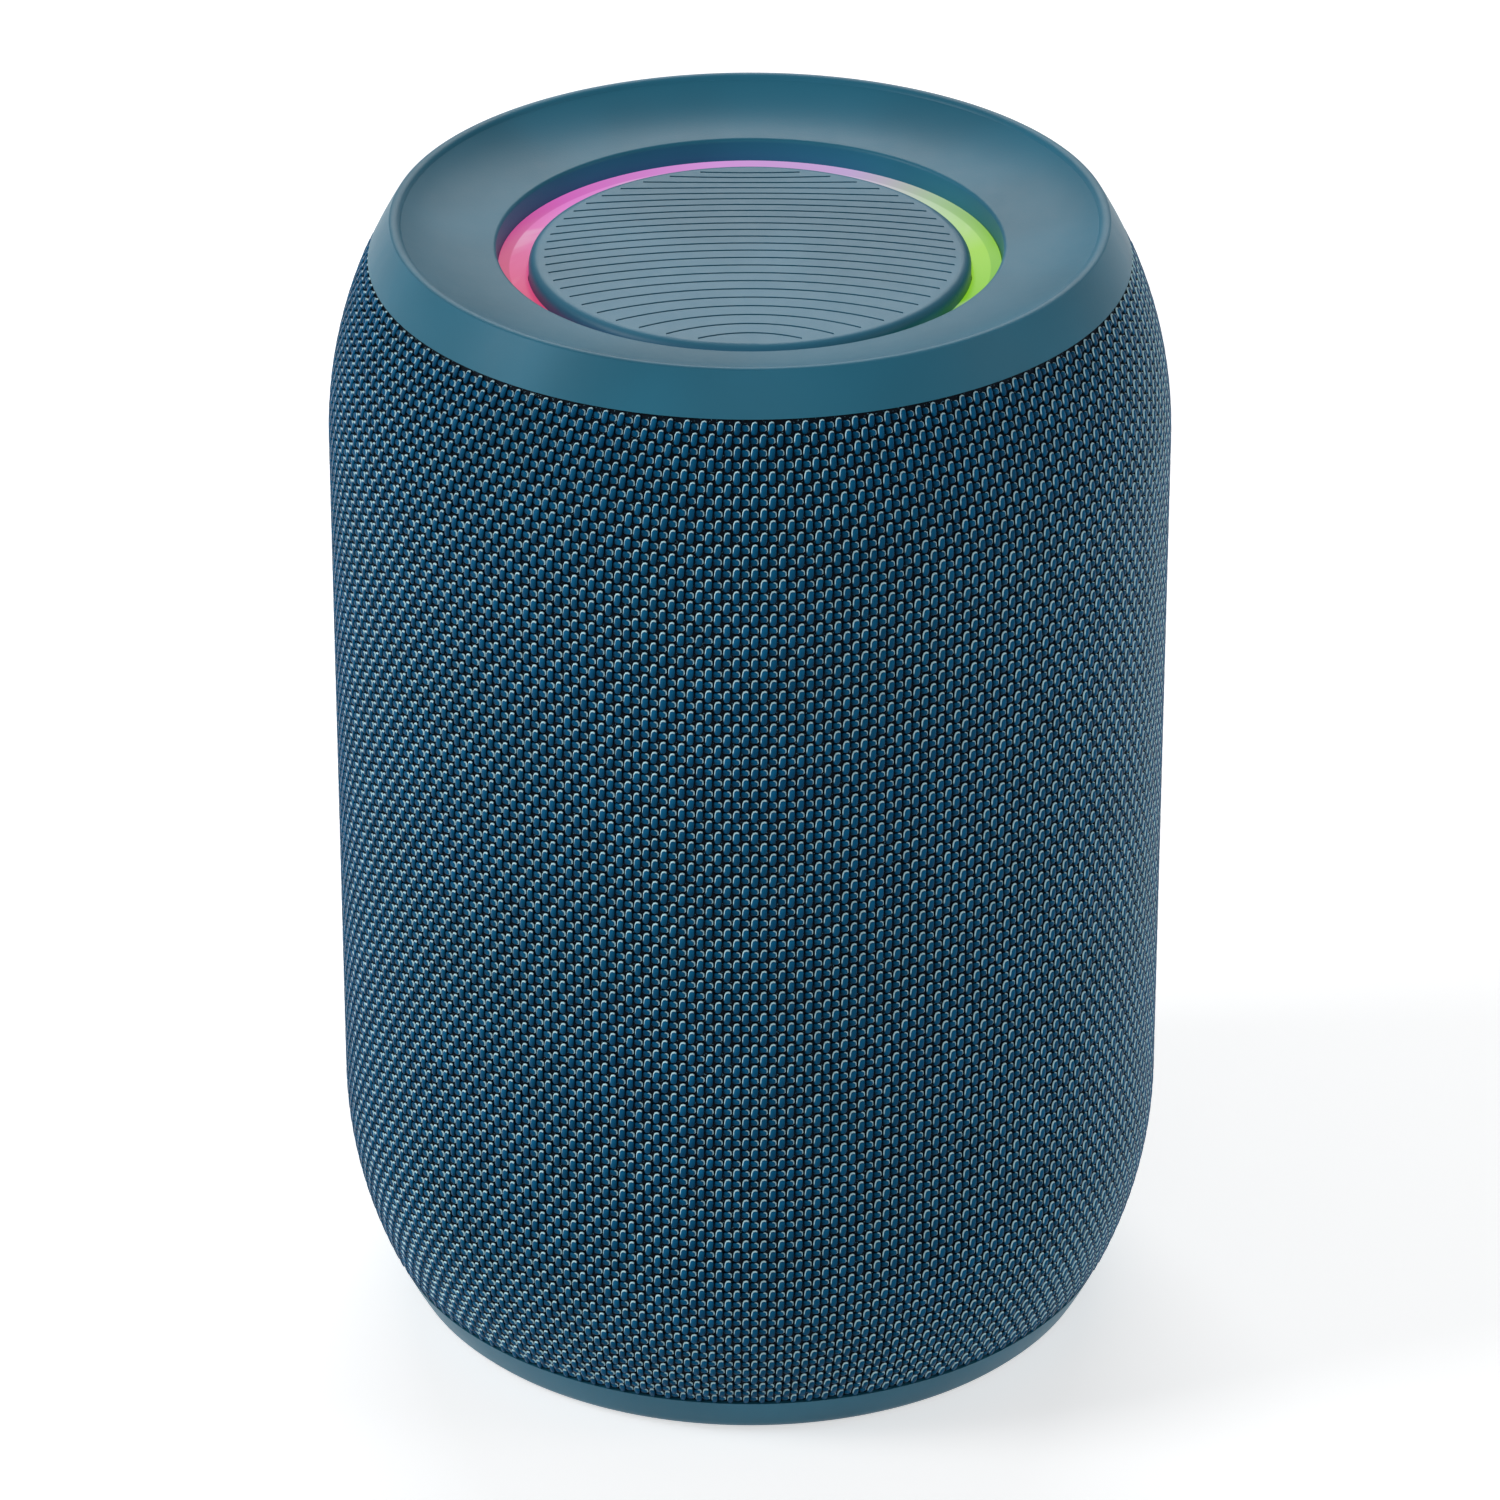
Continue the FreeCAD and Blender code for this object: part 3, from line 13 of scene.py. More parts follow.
import bpy
import numpy as np
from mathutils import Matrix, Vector


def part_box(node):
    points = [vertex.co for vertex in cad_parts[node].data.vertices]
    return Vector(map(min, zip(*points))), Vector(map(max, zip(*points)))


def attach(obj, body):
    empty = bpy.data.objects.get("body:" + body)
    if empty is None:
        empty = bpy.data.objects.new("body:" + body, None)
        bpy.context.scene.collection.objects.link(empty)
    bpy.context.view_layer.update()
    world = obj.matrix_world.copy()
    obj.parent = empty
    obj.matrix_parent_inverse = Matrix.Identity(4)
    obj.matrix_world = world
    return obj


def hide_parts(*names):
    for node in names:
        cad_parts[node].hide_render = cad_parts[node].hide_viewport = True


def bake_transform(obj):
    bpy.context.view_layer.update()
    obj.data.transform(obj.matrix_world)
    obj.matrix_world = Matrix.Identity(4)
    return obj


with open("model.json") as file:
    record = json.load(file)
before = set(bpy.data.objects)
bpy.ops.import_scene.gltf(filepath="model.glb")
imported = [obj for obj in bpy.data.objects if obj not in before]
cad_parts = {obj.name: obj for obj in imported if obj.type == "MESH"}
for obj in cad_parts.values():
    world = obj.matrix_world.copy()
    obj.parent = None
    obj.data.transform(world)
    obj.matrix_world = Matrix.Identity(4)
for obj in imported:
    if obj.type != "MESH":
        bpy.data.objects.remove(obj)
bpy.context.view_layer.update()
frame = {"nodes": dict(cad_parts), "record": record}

nodes = frame["nodes"]

# %% [markdown]
# ## Camera
# A speaker like this is shown from a little above, so that the dish and the light ring can be seen.
# A long lens keeps the sides of the barrel nearly parallel. The camera looks at the middle of the cloth.

# %% Place the camera
CAMERA_RISE = math.radians(28.161)
CAMERA_DISTANCE = 0.9113
LENS, SENSOR = 190.22, 36
AIM = Vector((0, 0, 0.0670))


def add_object(name, data):
    """An object in the scene, at the origin, that shows this data."""
    added = bpy.data.objects.new(name, data)
    bpy.context.scene.collection.objects.link(added)
    return added


camera = add_object("Camera", bpy.data.cameras.new("Camera"))
camera.data.sensor_width = SENSOR
camera.data.lens = LENS
camera.location = AIM + CAMERA_DISTANCE * Vector((0, -math.cos(CAMERA_RISE), math.sin(CAMERA_RISE)))
camera.rotation_euler = (math.pi / 2 - CAMERA_RISE, 0, 0)
bpy.context.scene.camera = camera
print("camera at", [round(c, 4) for c in camera.location])

# %% [markdown]
# ## A short way to write nodes
# Finishes and node trees are long chains of small nodes. Written one call at a time they hide the idea, so two
# small classes write them here. `Socket` wraps one output, and sums on it add Math nodes. `Tree` adds any other
# node from its type, its settings and the values or links of its sockets.

# %% A socket in expressions
class Socket:
    """An output of a node. Arithmetic on it adds Math nodes to its tree."""

    def __init__(self, tree, socket):
        self.tree = tree
        self.socket = socket

    def math(self, operation, *values):
        return self.tree.add("ShaderNodeMath", {"operation": operation}, dict(enumerate(values)))

    def __add__(self, other):
        return self.math("ADD", self, other)

    def __sub__(self, other):
        return self.math("SUBTRACT", self, other)

    def __rsub__(self, other):
        return self.math("SUBTRACT", other, self)

    def __mul__(self, other):
        return self.math("MULTIPLY", self, other)

    def __truediv__(self, other):
        return self.math("DIVIDE", self, other)

    def __pow__(self, other):
        return self.math("POWER", self, other)

    __radd__ = __add__
    __rmul__ = __mul__

    def above(self, other):
        return self.math("GREATER_THAN", self, other)

    def most(self, other):
        return self.math("MAXIMUM", self, other)

    def least(self, other):
        return self.math("MINIMUM", self, other)

    def of(self, function, *others):
        return self.math(function.upper(), self, *others)

    def ramp(self, start, end):
        """0 below start, 1 above end, and smooth in between."""
        return self.tree.add("ShaderNodeMapRange", {"interpolation_type": "SMOOTHSTEP"},
                             {"Value": self, "From Min": start, "From Max": end})

    def other(self, name):
        """Another output of the same node."""
        return Socket(self.tree, self.socket.node.outputs[name])


print("a socket knows:", sorted(name for name in vars(Socket) if not name.startswith("_")))


# %% A tree that writes nodes
class Tree:
    """Writes nodes into a material, a world or a geometry tree."""

    def __init__(self, tree):
        self.tree = tree

    def add(self, kind, settings=None, sockets=None, out=None):
        """A new node. Sockets go by name or by number, and the result is its first output or the one named."""
        node = self.tree.nodes.new(kind)
        for name, value in (settings or {}).items():
            if name == "stops":
                self.set_stops(node.color_ramp, value)
            else:
                setattr(node, name, value)
        for name, value in (sockets or {}).items():
            named = [node.inputs[name]] if isinstance(name, int) else [s for s in node.inputs if s.name == name]
            target = next((s for s in named if s.enabled), named[0])
            if isinstance(value, Socket):
                self.tree.links.new(value.socket, target)
            else:
                target.default_value = value
        shown = [s for s in node.outputs if s.enabled]
        if not shown:
            return node
        return Socket(self, next(s for s in shown if s.name == out) if out else shown[0])

    def set_stops(self, ramp, stops):
        """Gives a colour ramp these places and colours."""
        while len(ramp.elements) < len(stops):
            ramp.elements.new(0.5)
        for element, (place, colour) in zip(ramp.elements, stops):
            element.position = place
            element.color = colour

    def mix(self, factor, first, second, way="MIX"):
        """Mix of two colours."""
        return self.add("ShaderNodeMix", {"data_type": "RGBA", "blend_type": way},
                        {"Factor": factor, "A": first, "B": second})

    def place(self):
        """Object coordinates, which are metres in the frame of the model."""
        return self.add("ShaderNodeTexCoord", None, None, "Object")

    def attribute(self, name):
        """A value that the mesh carries at its points."""
        return self.add("ShaderNodeAttribute", {"attribute_name": name}, None, "Fac")

    def parts(self, vector):
        """The X, Y and Z of a vector."""
        x = self.add("ShaderNodeSeparateXYZ", None, {"Vector": vector}, "X")
        return x, x.other("Y"), x.other("Z")

    def noise(self, place, scale, detail=2.0, roughness=0.5):
        """Noise with this many waves in a metre."""
        return self.add("ShaderNodeTexNoise", None, {
            "Vector": place, "Scale": scale, "Detail": detail, "Roughness": roughness}, "Fac")

    def stretched(self, place, stretch):
        """A place whose axes are scaled one by one."""
        return self.add("ShaderNodeVectorMath", {"operation": "MULTIPLY"}, {0: place, 1: stretch})


def paint(red, green, blue):
    """Linear colour of a paint named by its usual 0 to 255 values."""
    linear = [c / 255 / 12.92 if c / 255 <= 0.04045 else ((c / 255 + 0.055) / 1.055) ** 2.4
              for c in (red, green, blue)]
    return (*linear, 1.0)


def times(colour, factor):
    """A colour made darker or paler."""
    return (*(min(1.0, c * factor) for c in colour[:3]), 1.0)


print("paint(54, 100, 123) is", [round(c, 3) for c in paint(54, 100, 123)])

# %% [markdown]
# ## Studio
# The product stands on a white sweep. The floor is a pale plane that keeps the soft shadow. To the eye it is
# white, which comes from Light Path and not from stronger lamps, so the plastic keeps its depth of colour. The
# world is a white wall round the horizon under a dim ceiling, as in a studio, so that gloss has something light
# and something dark to show. Four soft boxes light the object: a tall one at the left, a weaker one at the
# right, a wide one behind, which draws the sheen on the disc, and a faint one in front.

# %% Floor
REACH = 8.0
CARD_GREY = 0.80
LIFT_FROM, LIFT_TO = 0.3, 2.4
LIFT_NEAR, LIFT_MORE = 0.575, 0.325

floor_mesh = bpy.data.meshes.new("Floor")
floor_mesh.from_pydata([(-REACH, -REACH, 0), (REACH, -REACH, 0), (REACH, REACH, 0), (-REACH, REACH, 0)], [],
                       [(0, 1, 2, 3)])
add_object("Floor", floor_mesh)


def new_finish(name):
    """An empty material and the tree that writes into it."""
    material = bpy.data.materials.new(name)
    material.use_nodes = True
    material.node_tree.nodes.clear()
    return material, Tree(material.node_tree)


floor_finish, t = new_finish("Floor")
seen = t.add("ShaderNodeLightPath", None, None, "Is Camera Ray")
seen = seen.most(seen.other("Is Glossy Ray")).most(seen.other("Is Transmission Ray"))
x, y, z = t.parts(t.place())
far = ((x * x + y * y) ** 0.5).ramp(LIFT_FROM, LIFT_TO)
card = t.add("ShaderNodeBsdfDiffuse", None, {"Color": (CARD_GREY, CARD_GREY, CARD_GREY, 1)})
lift = t.add("ShaderNodeEmission", None, {
    "Color": (1, 1, 1, 1), "Strength": seen * (LIFT_NEAR + LIFT_MORE * far)})
both = t.add("ShaderNodeAddShader", None, {0: card, 1: lift})
t.add("ShaderNodeOutputMaterial", None, {"Surface": both})
floor_mesh.materials.append(floor_finish)
print("floor reaches", REACH, "m each way; nodes in its finish:", len(floor_finish.node_tree.nodes))

# %% World
ROOM_STRENGTH, WALL_STRENGTH = 0.16, 1.0
WALL_FADES = 0.10, 0.42

world = bpy.data.worlds.new("Studio")
bpy.context.scene.world = world
world.use_nodes = True
world.node_tree.nodes.clear()
t = Tree(world.node_tree)
heading = t.add("ShaderNodeTexCoord", None, None, "Generated")
height = t.parts(heading)[2].of("absolute")
room = t.add("ShaderNodeBackground", None, {"Color": (0.93, 0.97, 1.0, 1), "Strength": ROOM_STRENGTH})
wall = t.add("ShaderNodeBackground", None, {"Color": (1, 1, 1, 1), "Strength": WALL_STRENGTH})
backdrop = t.add("ShaderNodeMixShader", None, {0: height.ramp(*WALL_FADES), 1: wall, 2: room})
t.add("ShaderNodeOutputWorld", None, {"Surface": backdrop})
print("nodes in the world:", len(world.node_tree.nodes))


# %% Lamps
def soft_box(name, place, width, height, power):
    """A rectangular lamp that faces the middle of the speaker."""
    light = bpy.data.lights.new(name, "AREA")
    light.shape = "RECTANGLE"
    light.size = width
    light.size_y = height
    light.energy = power
    box = add_object(name, light)
    box.location = place
    box.rotation_euler = (Vector(place) - AIM).to_track_quat("Z", "Y").to_euler()
    print(name, "at", place, "power", power)


soft_box("Left_box", (-1.5, -0.35, 1.0), width=0.55, height=1.1, power=14.0)
soft_box("Right_box", (1.6, -0.35, 0.9), width=0.50, height=1.0, power=3.0)
soft_box("Rear_box", (0.0, 1.8, 1.3), width=1.6, height=0.8, power=19.0)
soft_box("Front_box", (0.0, -1.9, 1.2), width=1.2, height=0.8, power=3.2)
bpy.context.scene.view_settings.view_transform = "Standard"

# %% [markdown]
# ## Moulded plastic
# Moulded plastic is never quite even: the mould leaves a fine grain, and the colour and gloss drift a little
# over the surface. One function writes this for every plastic and rubber piece, and each finish gives it a
# colour, a gloss and the size of its grain. The pattern reads Object coordinates, so that it needs no unwrapping.

# %% A finish for moulded pieces
HOLLOW_SHADE = 0.22
GROOVE_DEPTHS = 0.00030, 0.00003
GROOVES_END = 0.0232, 0.0234


def finish(t, **sockets):
    """A Principled shader on the material's output. Underscores stand for spaces in the sockets' names."""
    named = {name.replace("_", " ").title().replace("Ior", "IOR"): value for name, value in sockets.items()}
    shader = t.add("ShaderNodeBsdfPrincipled", None, named)
    t.add("ShaderNodeOutputMaterial", None, {"Surface": shader})


def bump(t, height, strength, distance):
    """Normal of a surface whose height varies."""
    return t.add("ShaderNodeBump", None, {"Strength": strength, "Distance": distance, "Height": height})


def moulded(name, colour, gloss, grain, depth=0.00003, drift=0.10, painted_hollow_shade=None, **constant):
    """Plastic or rubber: mould grain, slow drift of colour and gloss, faint wiping marks, and painted shade in
    hollows.
    """
    material, t = new_finish(name)
    place = t.place()
    fine = t.noise(place, grain, 3.0, 0.6)
    slow = t.noise(place, 38.0, 2.0)
    marks = t.noise(t.stretched(place, (1, 1, 0.25)), 420.0, 4.0, 0.7)
    darker, paler = times(colour, 1 - drift), times(colour, 1 + drift)
    tint = t.mix(slow.ramp(0.35, 0.65), darker, paler)
    tint = t.mix(fine.ramp(0.45, 0.9) * 0.12, tint, paler)
    rough = gloss + 0.10 * (marks - 0.5) + 0.06 * (fine - 0.5)
    # painted shade: hollows such as the disc's grooves are darkened as if shade fell in them
    if painted_hollow_shade:
        tint = t.mix(painted_hollow_shade(t, place), tint, times(colour, HOLLOW_SHADE))
    finish(t, base_color=tint, roughness=rough, normal=bump(t, fine, 0.35, depth), **constant)
    return material


def in_grooves(t, place):
    """1 in the grooves of the top disc, which lie below its face and inside its edge, where painted shade goes."""
    x, y, z = t.parts(place)
    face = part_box("top_disc")[1].z
    below = 1.0 - z.ramp(face - GROOVE_DEPTHS[0], face - GROOVE_DEPTHS[1])
    return below * (1.0 - ((x * x + y * y) ** 0.5).ramp(*GROOVES_END))


finishes = {
    "trim": moulded("Blue_trim", paint(45, 113, 138), gloss=0.40, grain=5200.0, specular_ior_level=0.17),
    # the disc's grooves take painted shade
    "disc": moulded("Blue_disc", paint(55, 120, 146), gloss=0.42, grain=5200.0, painted_hollow_shade=in_grooves,
                    specular_ior_level=0.28),
    "panel": moulded("Soft_blue_panel", paint(30, 74, 98), gloss=0.55, grain=3600.0, sheen_weight=0.10,
                     specular_ior_level=0.25),
    "button": moulded("Soft_blue_button", paint(40, 90, 114), gloss=0.50, grain=3600.0, sheen_weight=0.06,
                      specular_ior_level=0.25),
    "black_plastic": moulded("Black_plastic", paint(26, 30, 34), gloss=0.50, grain=2600.0, depth=0.00006),
    "white_plastic": moulded("White_plastic", paint(214, 216, 214), gloss=0.45, grain=2600.0, depth=0.00004,
                             drift=0.03),
    "base_plastic": moulded("Base_plastic", paint(38, 62, 76), gloss=0.55, grain=2200.0, depth=0.00008),
    "rubber": moulded("Rubber", paint(32, 36, 40), gloss=0.72, grain=1900.0, depth=0.00008, drift=0.15),
}
print("moulded finishes:", len(finishes))

# %% [markdown]
# ## Metals, paper and boards
# The inner pieces are seen only when the speaker is opened, but each is finished as what it is. Turned steel
# shows fine rings, copper wire shows its turns, the paper cone shows long fibres, and a circuit board shows
# copper tracks under green lacquer.

# %% Metals
def metal(name, colour, gloss, stretch, scale, metallic=1.0):
    """Metal with fine tool marks, which are long where the stretch is small."""
    material, t = new_finish(name)
    place = t.place()
    marks = t.noise(t.stretched(place, stretch), scale, 3.0, 0.65)
    stain = t.noise(place, 90.0, 3.0)
    tint = t.mix(stain.ramp(0.4, 0.75) * 0.5, colour, times(colour, 0.72))
    rough = gloss + 0.16 * (marks - 0.5) + 0.10 * stain.ramp(0.45, 0.8)
    finish(t, base_color=tint, roughness=rough, metallic=metallic, normal=bump(t, marks, 0.4, 0.00002))
    return material


finishes.update(
    steel=metal("Plated_steel", paint(172, 174, 176), gloss=0.34, stretch=(1, 0.15, 1), scale=1800.0),
    screw=metal("Black_screw", paint(70, 72, 76), gloss=0.38, stretch=(1, 1, 0.3), scale=2400.0),
    copper=metal("Copper_wire", paint(196, 112, 66), gloss=0.30, stretch=(0.05, 1, 0.05), scale=2600.0),
    magnet=metal("Magnet_ferrite", paint(58, 58, 60), gloss=0.66, stretch=(1, 1, 1), scale=900.0, metallic=0.25),
)
print("finishes with the metals:", len(finishes))


# %% Paper and cloth of the driver
def fibres(name, colour, gloss, scale, depth, **constant):
    """Pressed or woven fibre: two crossed fields of long fine noise."""
    material, t = new_finish(name)
    place = t.place()
    along = t.noise(t.stretched(place, (1, 1, 0.12)), scale, 3.0, 0.7)
    across = t.noise(t.stretched(place, (0.12, 1, 1)), scale, 3.0, 0.7)
    felt = along.most(across)
    finish(t, base_color=t.mix(felt.ramp(0.4, 0.72), times(colour, 0.55), colour),
           roughness=gloss + 0.12 * (felt - 0.5), normal=bump(t, felt, 0.5, depth), **constant)
    return material


finishes.update(
    cone=fibres("Paper_cone", paint(40, 40, 42), gloss=0.75, scale=1500.0, depth=0.00008),
    spider=fibres("Spider_cloth", paint(196, 150, 78), gloss=0.85, scale=2300.0, depth=0.00012,
                  sheen_weight=0.2),
    radiator_disc=fibres("Radiator_disc", paint(48, 50, 54), gloss=0.45, scale=1200.0, depth=0.00005),
)
print("finishes with paper and cloth:", len(finishes))


# %% Boards, chips, cells and lamps
def circuit_board():
    """Green lacquer over copper tracks that run in short straight steps."""
    material, t = new_finish("Circuit_board")
    place = t.place()
    nearest, second = (t.add("ShaderNodeTexVoronoi", {"distance": "CHEBYCHEV", "feature": feature},
                             {"Vector": place, "Scale": 340.0}, "Distance") for feature in ("F1", "F2"))
    track = 1 - (second - nearest).ramp(0.05, 0.14)
    grain = t.noise(place, 2600.0, 3.0)
    lacquer = t.mix(grain, paint(12, 66, 40), paint(16, 78, 48))
    finish(t, base_color=t.mix(track * 0.7, lacquer, paint(46, 118, 66)), roughness=0.32 + 0.1 * grain,
           normal=bump(t, track, 0.5, 0.00003), coat_weight=0.3)
    return material


def lamp_cover():
    """Milky cover of a lamp with its small yellow chip showing through."""
    material, t = new_finish("Lamp_cover")
    place = t.place()
    cloud = t.noise(place, 900.0, 2.0)
    finish(t, base_color=t.mix(cloud.ramp(0.4, 0.7), paint(232, 230, 214), paint(236, 214, 132)),
           roughness=0.25 + 0.1 * cloud)
    return material


finishes.update(
    circuit_board=circuit_board(),
    lamp=lamp_cover(),
    chip=moulded("Chip_epoxy", paint(30, 30, 32), gloss=0.48, grain=4200.0, depth=0.00004),
    battery=moulded("Battery_wrap", paint(44, 104, 74), gloss=0.30, grain=1500.0, depth=0.00004, drift=0.16,
                    coat_weight=0.4),
)
print("finishes in all so far:", len(finishes))

# %% [markdown]
# ## The ring of light
# Between the disc and the wall of the recess lies a milky diffuser with coloured lamps under it. The colour
# turns with the angle: red and pink at the left, violet at the back, then white, and green at the right.
# A ramp over the angle gives the colour, and soft streaks run outwards from where each lamp stands below.

# %% Diffuser
OUTER_ZONE = 0.02670, 0.02690
HUES = [
    (0.00, paint(122, 84, 176)),
    (0.10, paint(186, 66, 140)),
    (0.19, paint(206, 70, 112)),
    (0.27, paint(206, 84, 142)),
    (0.36, paint(222, 128, 204)),
    (0.48, paint(222, 174, 228)),
    (0.57, paint(208, 188, 222)),
    (0.64, paint(186, 210, 176)),
    (0.72, paint(150, 204, 58)),
    (0.80, paint(126, 192, 34)),
    (0.88, paint(60, 150, 50)),
    (0.95, paint(40, 110, 120)),
    (1.00, paint(122, 84, 176)),
]


def diffuser():
    """Milky ring, lit from within in colours that turn with the angle, deeper in its outer zone."""
    material, t = new_finish("Diffuser")
    place = t.place()
    x, y, z = t.parts(place)
    turn = x.of("arctan2", y) / (2 * math.pi) + 0.5
    hue = t.add("ShaderNodeValToRGB", {"stops": HUES}, {"Fac": turn}, "Color")
    reach = (x * x + y * y) ** 0.5
    outer = reach.ramp(*OUTER_ZONE)
    ring_place = t.add("ShaderNodeCombineXYZ", None, {"X": turn * 26 + reach * 260, "Y": reach * 90})
    streak = t.noise(ring_place, 1.0, 2.0, 0.5)
    tint = t.mix(streak.ramp(0.50, 0.78) * (1.0 - outer) * 0.40, hue, (0.72, 0.72, 0.72, 1))
    tint = t.mix(outer * 0.45, tint, t.mix(1.0, hue, hue, "MULTIPLY"))
    finish(t, base_color=t.mix(0.92, tint, (0, 0, 0, 1)), roughness=0.35 + 0.1 * streak,
           specular_ior_level=0.15, emission_color=tint, emission_strength=0.95)
    return material


finishes["diffuser"] = diffuser()
print("nodes in the diffuser:", len(finishes["diffuser"].node_tree.nodes))

# %% [markdown]
# ## Dress the solids
# Every CAD node names a material slot in its record. A node whose shape is right keeps its mesh and takes the
# finish of its slot.

# %% Give each node its finish
slot_of = {part["node"]: part["material_slot"] for part in frame["record"]["subparts"]}


def dress(piece, material):
    """Gives every material slot of a piece this material."""
    if not piece.material_slots:
        piece.data.materials.append(material)
    for slot in piece.material_slots:
        slot.material = material


for name, node in nodes.items():
    if slot_of[name] in finishes:
        dress(node, finishes[slot_of[name]])
print("dressed:", sum(slot_of[name] in finishes for name in nodes), "left:",
      [name for name in nodes if slot_of[name] not in finishes])

# %% [markdown]
# ## The shape under the cloth
# The barrel is straight in its middle and bends in along a wide arc towards each ring. A rule gives the radius
# and the height at any run of the yarn, counted up from the lower ring. The ends and the middle come from the
# solid sleeve of the CAD model.

# %% Rule of the barrel
sleeve_low, sleeve_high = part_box("fabric_sleeve")
BODY_RADIUS = sleeve_high.x
SHOULDER_RADIUS = 0.0506
SHOULDER_RISE = 0.0214
SHOULDER_RUN = SHOULDER_RADIUS * math.asin(SHOULDER_RISE / SHOULDER_RADIUS)
STRAIGHT = sleeve_high.z - sleeve_low.z - 2 * SHOULDER_RISE
CLOTH_RUN = 2 * SHOULDER_RUN + STRAIGHT


def barrel(run, sunk=0.0):
    """Radius and height at a run of the yarn, sunk below the cloth's face."""
    below = np.maximum(SHOULDER_RUN - run, 0) / SHOULDER_RADIUS
    above = np.maximum(run - SHOULDER_RUN - STRAIGHT, 0) / SHOULDER_RADIUS
    tilt = above - below
    radius = BODY_RADIUS - SHOULDER_RADIUS * (2 - np.cos(below) - np.cos(above)) - sunk * np.cos(tilt)
    middle = sleeve_low.z + SHOULDER_RISE + np.clip(run - SHOULDER_RUN, 0, STRAIGHT)
    height = middle + SHOULDER_RADIUS * (np.sin(above) - np.sin(below)) - sunk * np.sin(tilt)
    return radius, height


print("run of the cloth in mm:", round(1000 * CLOTH_RUN, 2), "radius at the rings:",
      round(1000 * float(barrel(0.0)[0]), 2))

# %% [markdown]
# ## Trim rings
# The two trim rings are turned shapes: a bevel, a rounded lip, a hollow dish and the wall of the recess. Light
# runs along such broad soft bends and shows every flat, so both rings are turned here from the profile of
# their solids, in many more steps. A profile is a loop of complex numbers in millimetres: radius, and height
# as the imaginary part. An arc is given by its ends, its radius and the side on which its centre lies.

# %% Turn a ring
TURNS = 240
RING_CREASE = math.radians(25)


def arc(start, end, radius, side, steps):
    """Points from start to just before end. Side 1 keeps the centre at the left and -1 at the right."""
    half = (end - start) / 2
    centre = start + half + side * 1j * half / abs(half) * math.sqrt(radius ** 2 - abs(half) ** 2)
    sweep = cmath.phase((end - centre) / (start - centre))
    return [centre + (start - centre) * cmath.rect(1.0, sweep * step / steps) for step in range(steps)]


def skin(height, inset=0.0):
    """Point of the barrel's shoulder at a height in mm, pushed inwards by the inset."""
    upper = 1000 * sleeve_high.z - height < height - 1000 * sleeve_low.z
    end = 1000 * (sleeve_high.z if upper else sleeve_low.z)
    bend_at = end - 1000 * (SHOULDER_RISE if upper else -SHOULDER_RISE)
    radius = math.sqrt((1000 * SHOULDER_RADIUS - inset) ** 2 - (height - bend_at) ** 2)
    return complex(1000 * (BODY_RADIUS - SHOULDER_RADIUS) + radius, height)


def turned(name, profile, node):
    """Closed ring turned from a loop of points. It stands for a CAD node and takes its finish."""
    count = len(profile)
    spread = [(p.real * math.cos(a) / 1000, p.real * math.sin(a) / 1000, p.imag / 1000)
              for a in (2 * math.pi * k / TURNS for k in range(TURNS)) for p in profile]
    faces = [(k * count + n, (k + 1) % TURNS * count + n, (k + 1) % TURNS * count + (n + 1) % count,
              k * count + (n + 1) % count) for k in range(TURNS) for n in range(count)]
    mesh = bpy.data.meshes.new(name)
    mesh.from_pydata(spread, [], faces)
    mesh.shade_smooth()
    mesh.set_sharp_from_angle(angle=RING_CREASE)
    piece = add_object(name, mesh)
    dress(piece, finishes[slot_of[node]])
    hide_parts(node)
    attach(piece, "speaker")
    print(name, "points:", count, "faces:", len(faces))


# %% Top ring
SKIN_SUNK, TONGUE_SUNK = 3.0, 4.6
top = 1000 * sleeve_high.z
RIM_RISE, LIP_STEP, LIP_RADIUS = 4.6, complex(1.3, 0.35), 0.95
DISH_EDGE, DISH_RADIUS = complex(28.65, top + 1.44), 22.0
WALL_RADIUS, WALL_ROUND = 28.2, 0.45
SEAT_RADIUS, SEAT_LOW, SEAT_HIGH = 30.2, top - 2.21, top - 0.56

rim = skin(top + RIM_RISE)
lip = rim - LIP_STEP
wall_top = complex(WALL_RADIUS, DISH_EDGE.imag - WALL_ROUND)
turned("Top_ring_turned",
       arc(skin(top), rim, 1000 * SHOULDER_RADIUS, 1, 10)
       + arc(rim, lip, LIP_RADIUS, 1, 14)
       + arc(lip, DISH_EDGE, DISH_RADIUS, -1, 16)
       + arc(DISH_EDGE, wall_top, WALL_ROUND, 1, 8)
       + [wall_top, complex(WALL_RADIUS, SEAT_LOW), complex(SEAT_RADIUS, SEAT_LOW),
          complex(SEAT_RADIUS, SEAT_HIGH)]
       + [skin(top + rise, TONGUE_SUNK) for rise in (1.0, -2.0, -6.4)]
       + [skin(top + rise, SKIN_SUNK) for rise in (-6.4, -2.0, 0.0)], "top_ring")

# %% Base ring
low = 1000 * sleeve_low.z
BASE_DROP, FOOT_EDGE = 4.0, complex(0.6, 0.6)
PLATE_RADIUS, FOOT_RADIUS = 34.0, 36.0
PLATE_TOP, PLATE_LOW, FOOT_LOW = low - 0.6, low - 2.2, low - 4.6

turned("Base_ring_turned",
       [skin(low - BASE_DROP) - FOOT_EDGE]
       + arc(skin(low - BASE_DROP), skin(low), 1000 * SHOULDER_RADIUS, 1, 10)
       + [skin(low)]
       + [skin(low + rise, SKIN_SUNK) for rise in (0.0, 2.0, 6.4)]
       + [skin(low + rise, TONGUE_SUNK) for rise in (6.4, 2.0, -0.6)]
       + [complex(PLATE_RADIUS, PLATE_TOP), complex(PLATE_RADIUS, PLATE_LOW),
          complex(FOOT_RADIUS, PLATE_LOW), complex(FOOT_RADIUS, FOOT_LOW)], "base_ring")
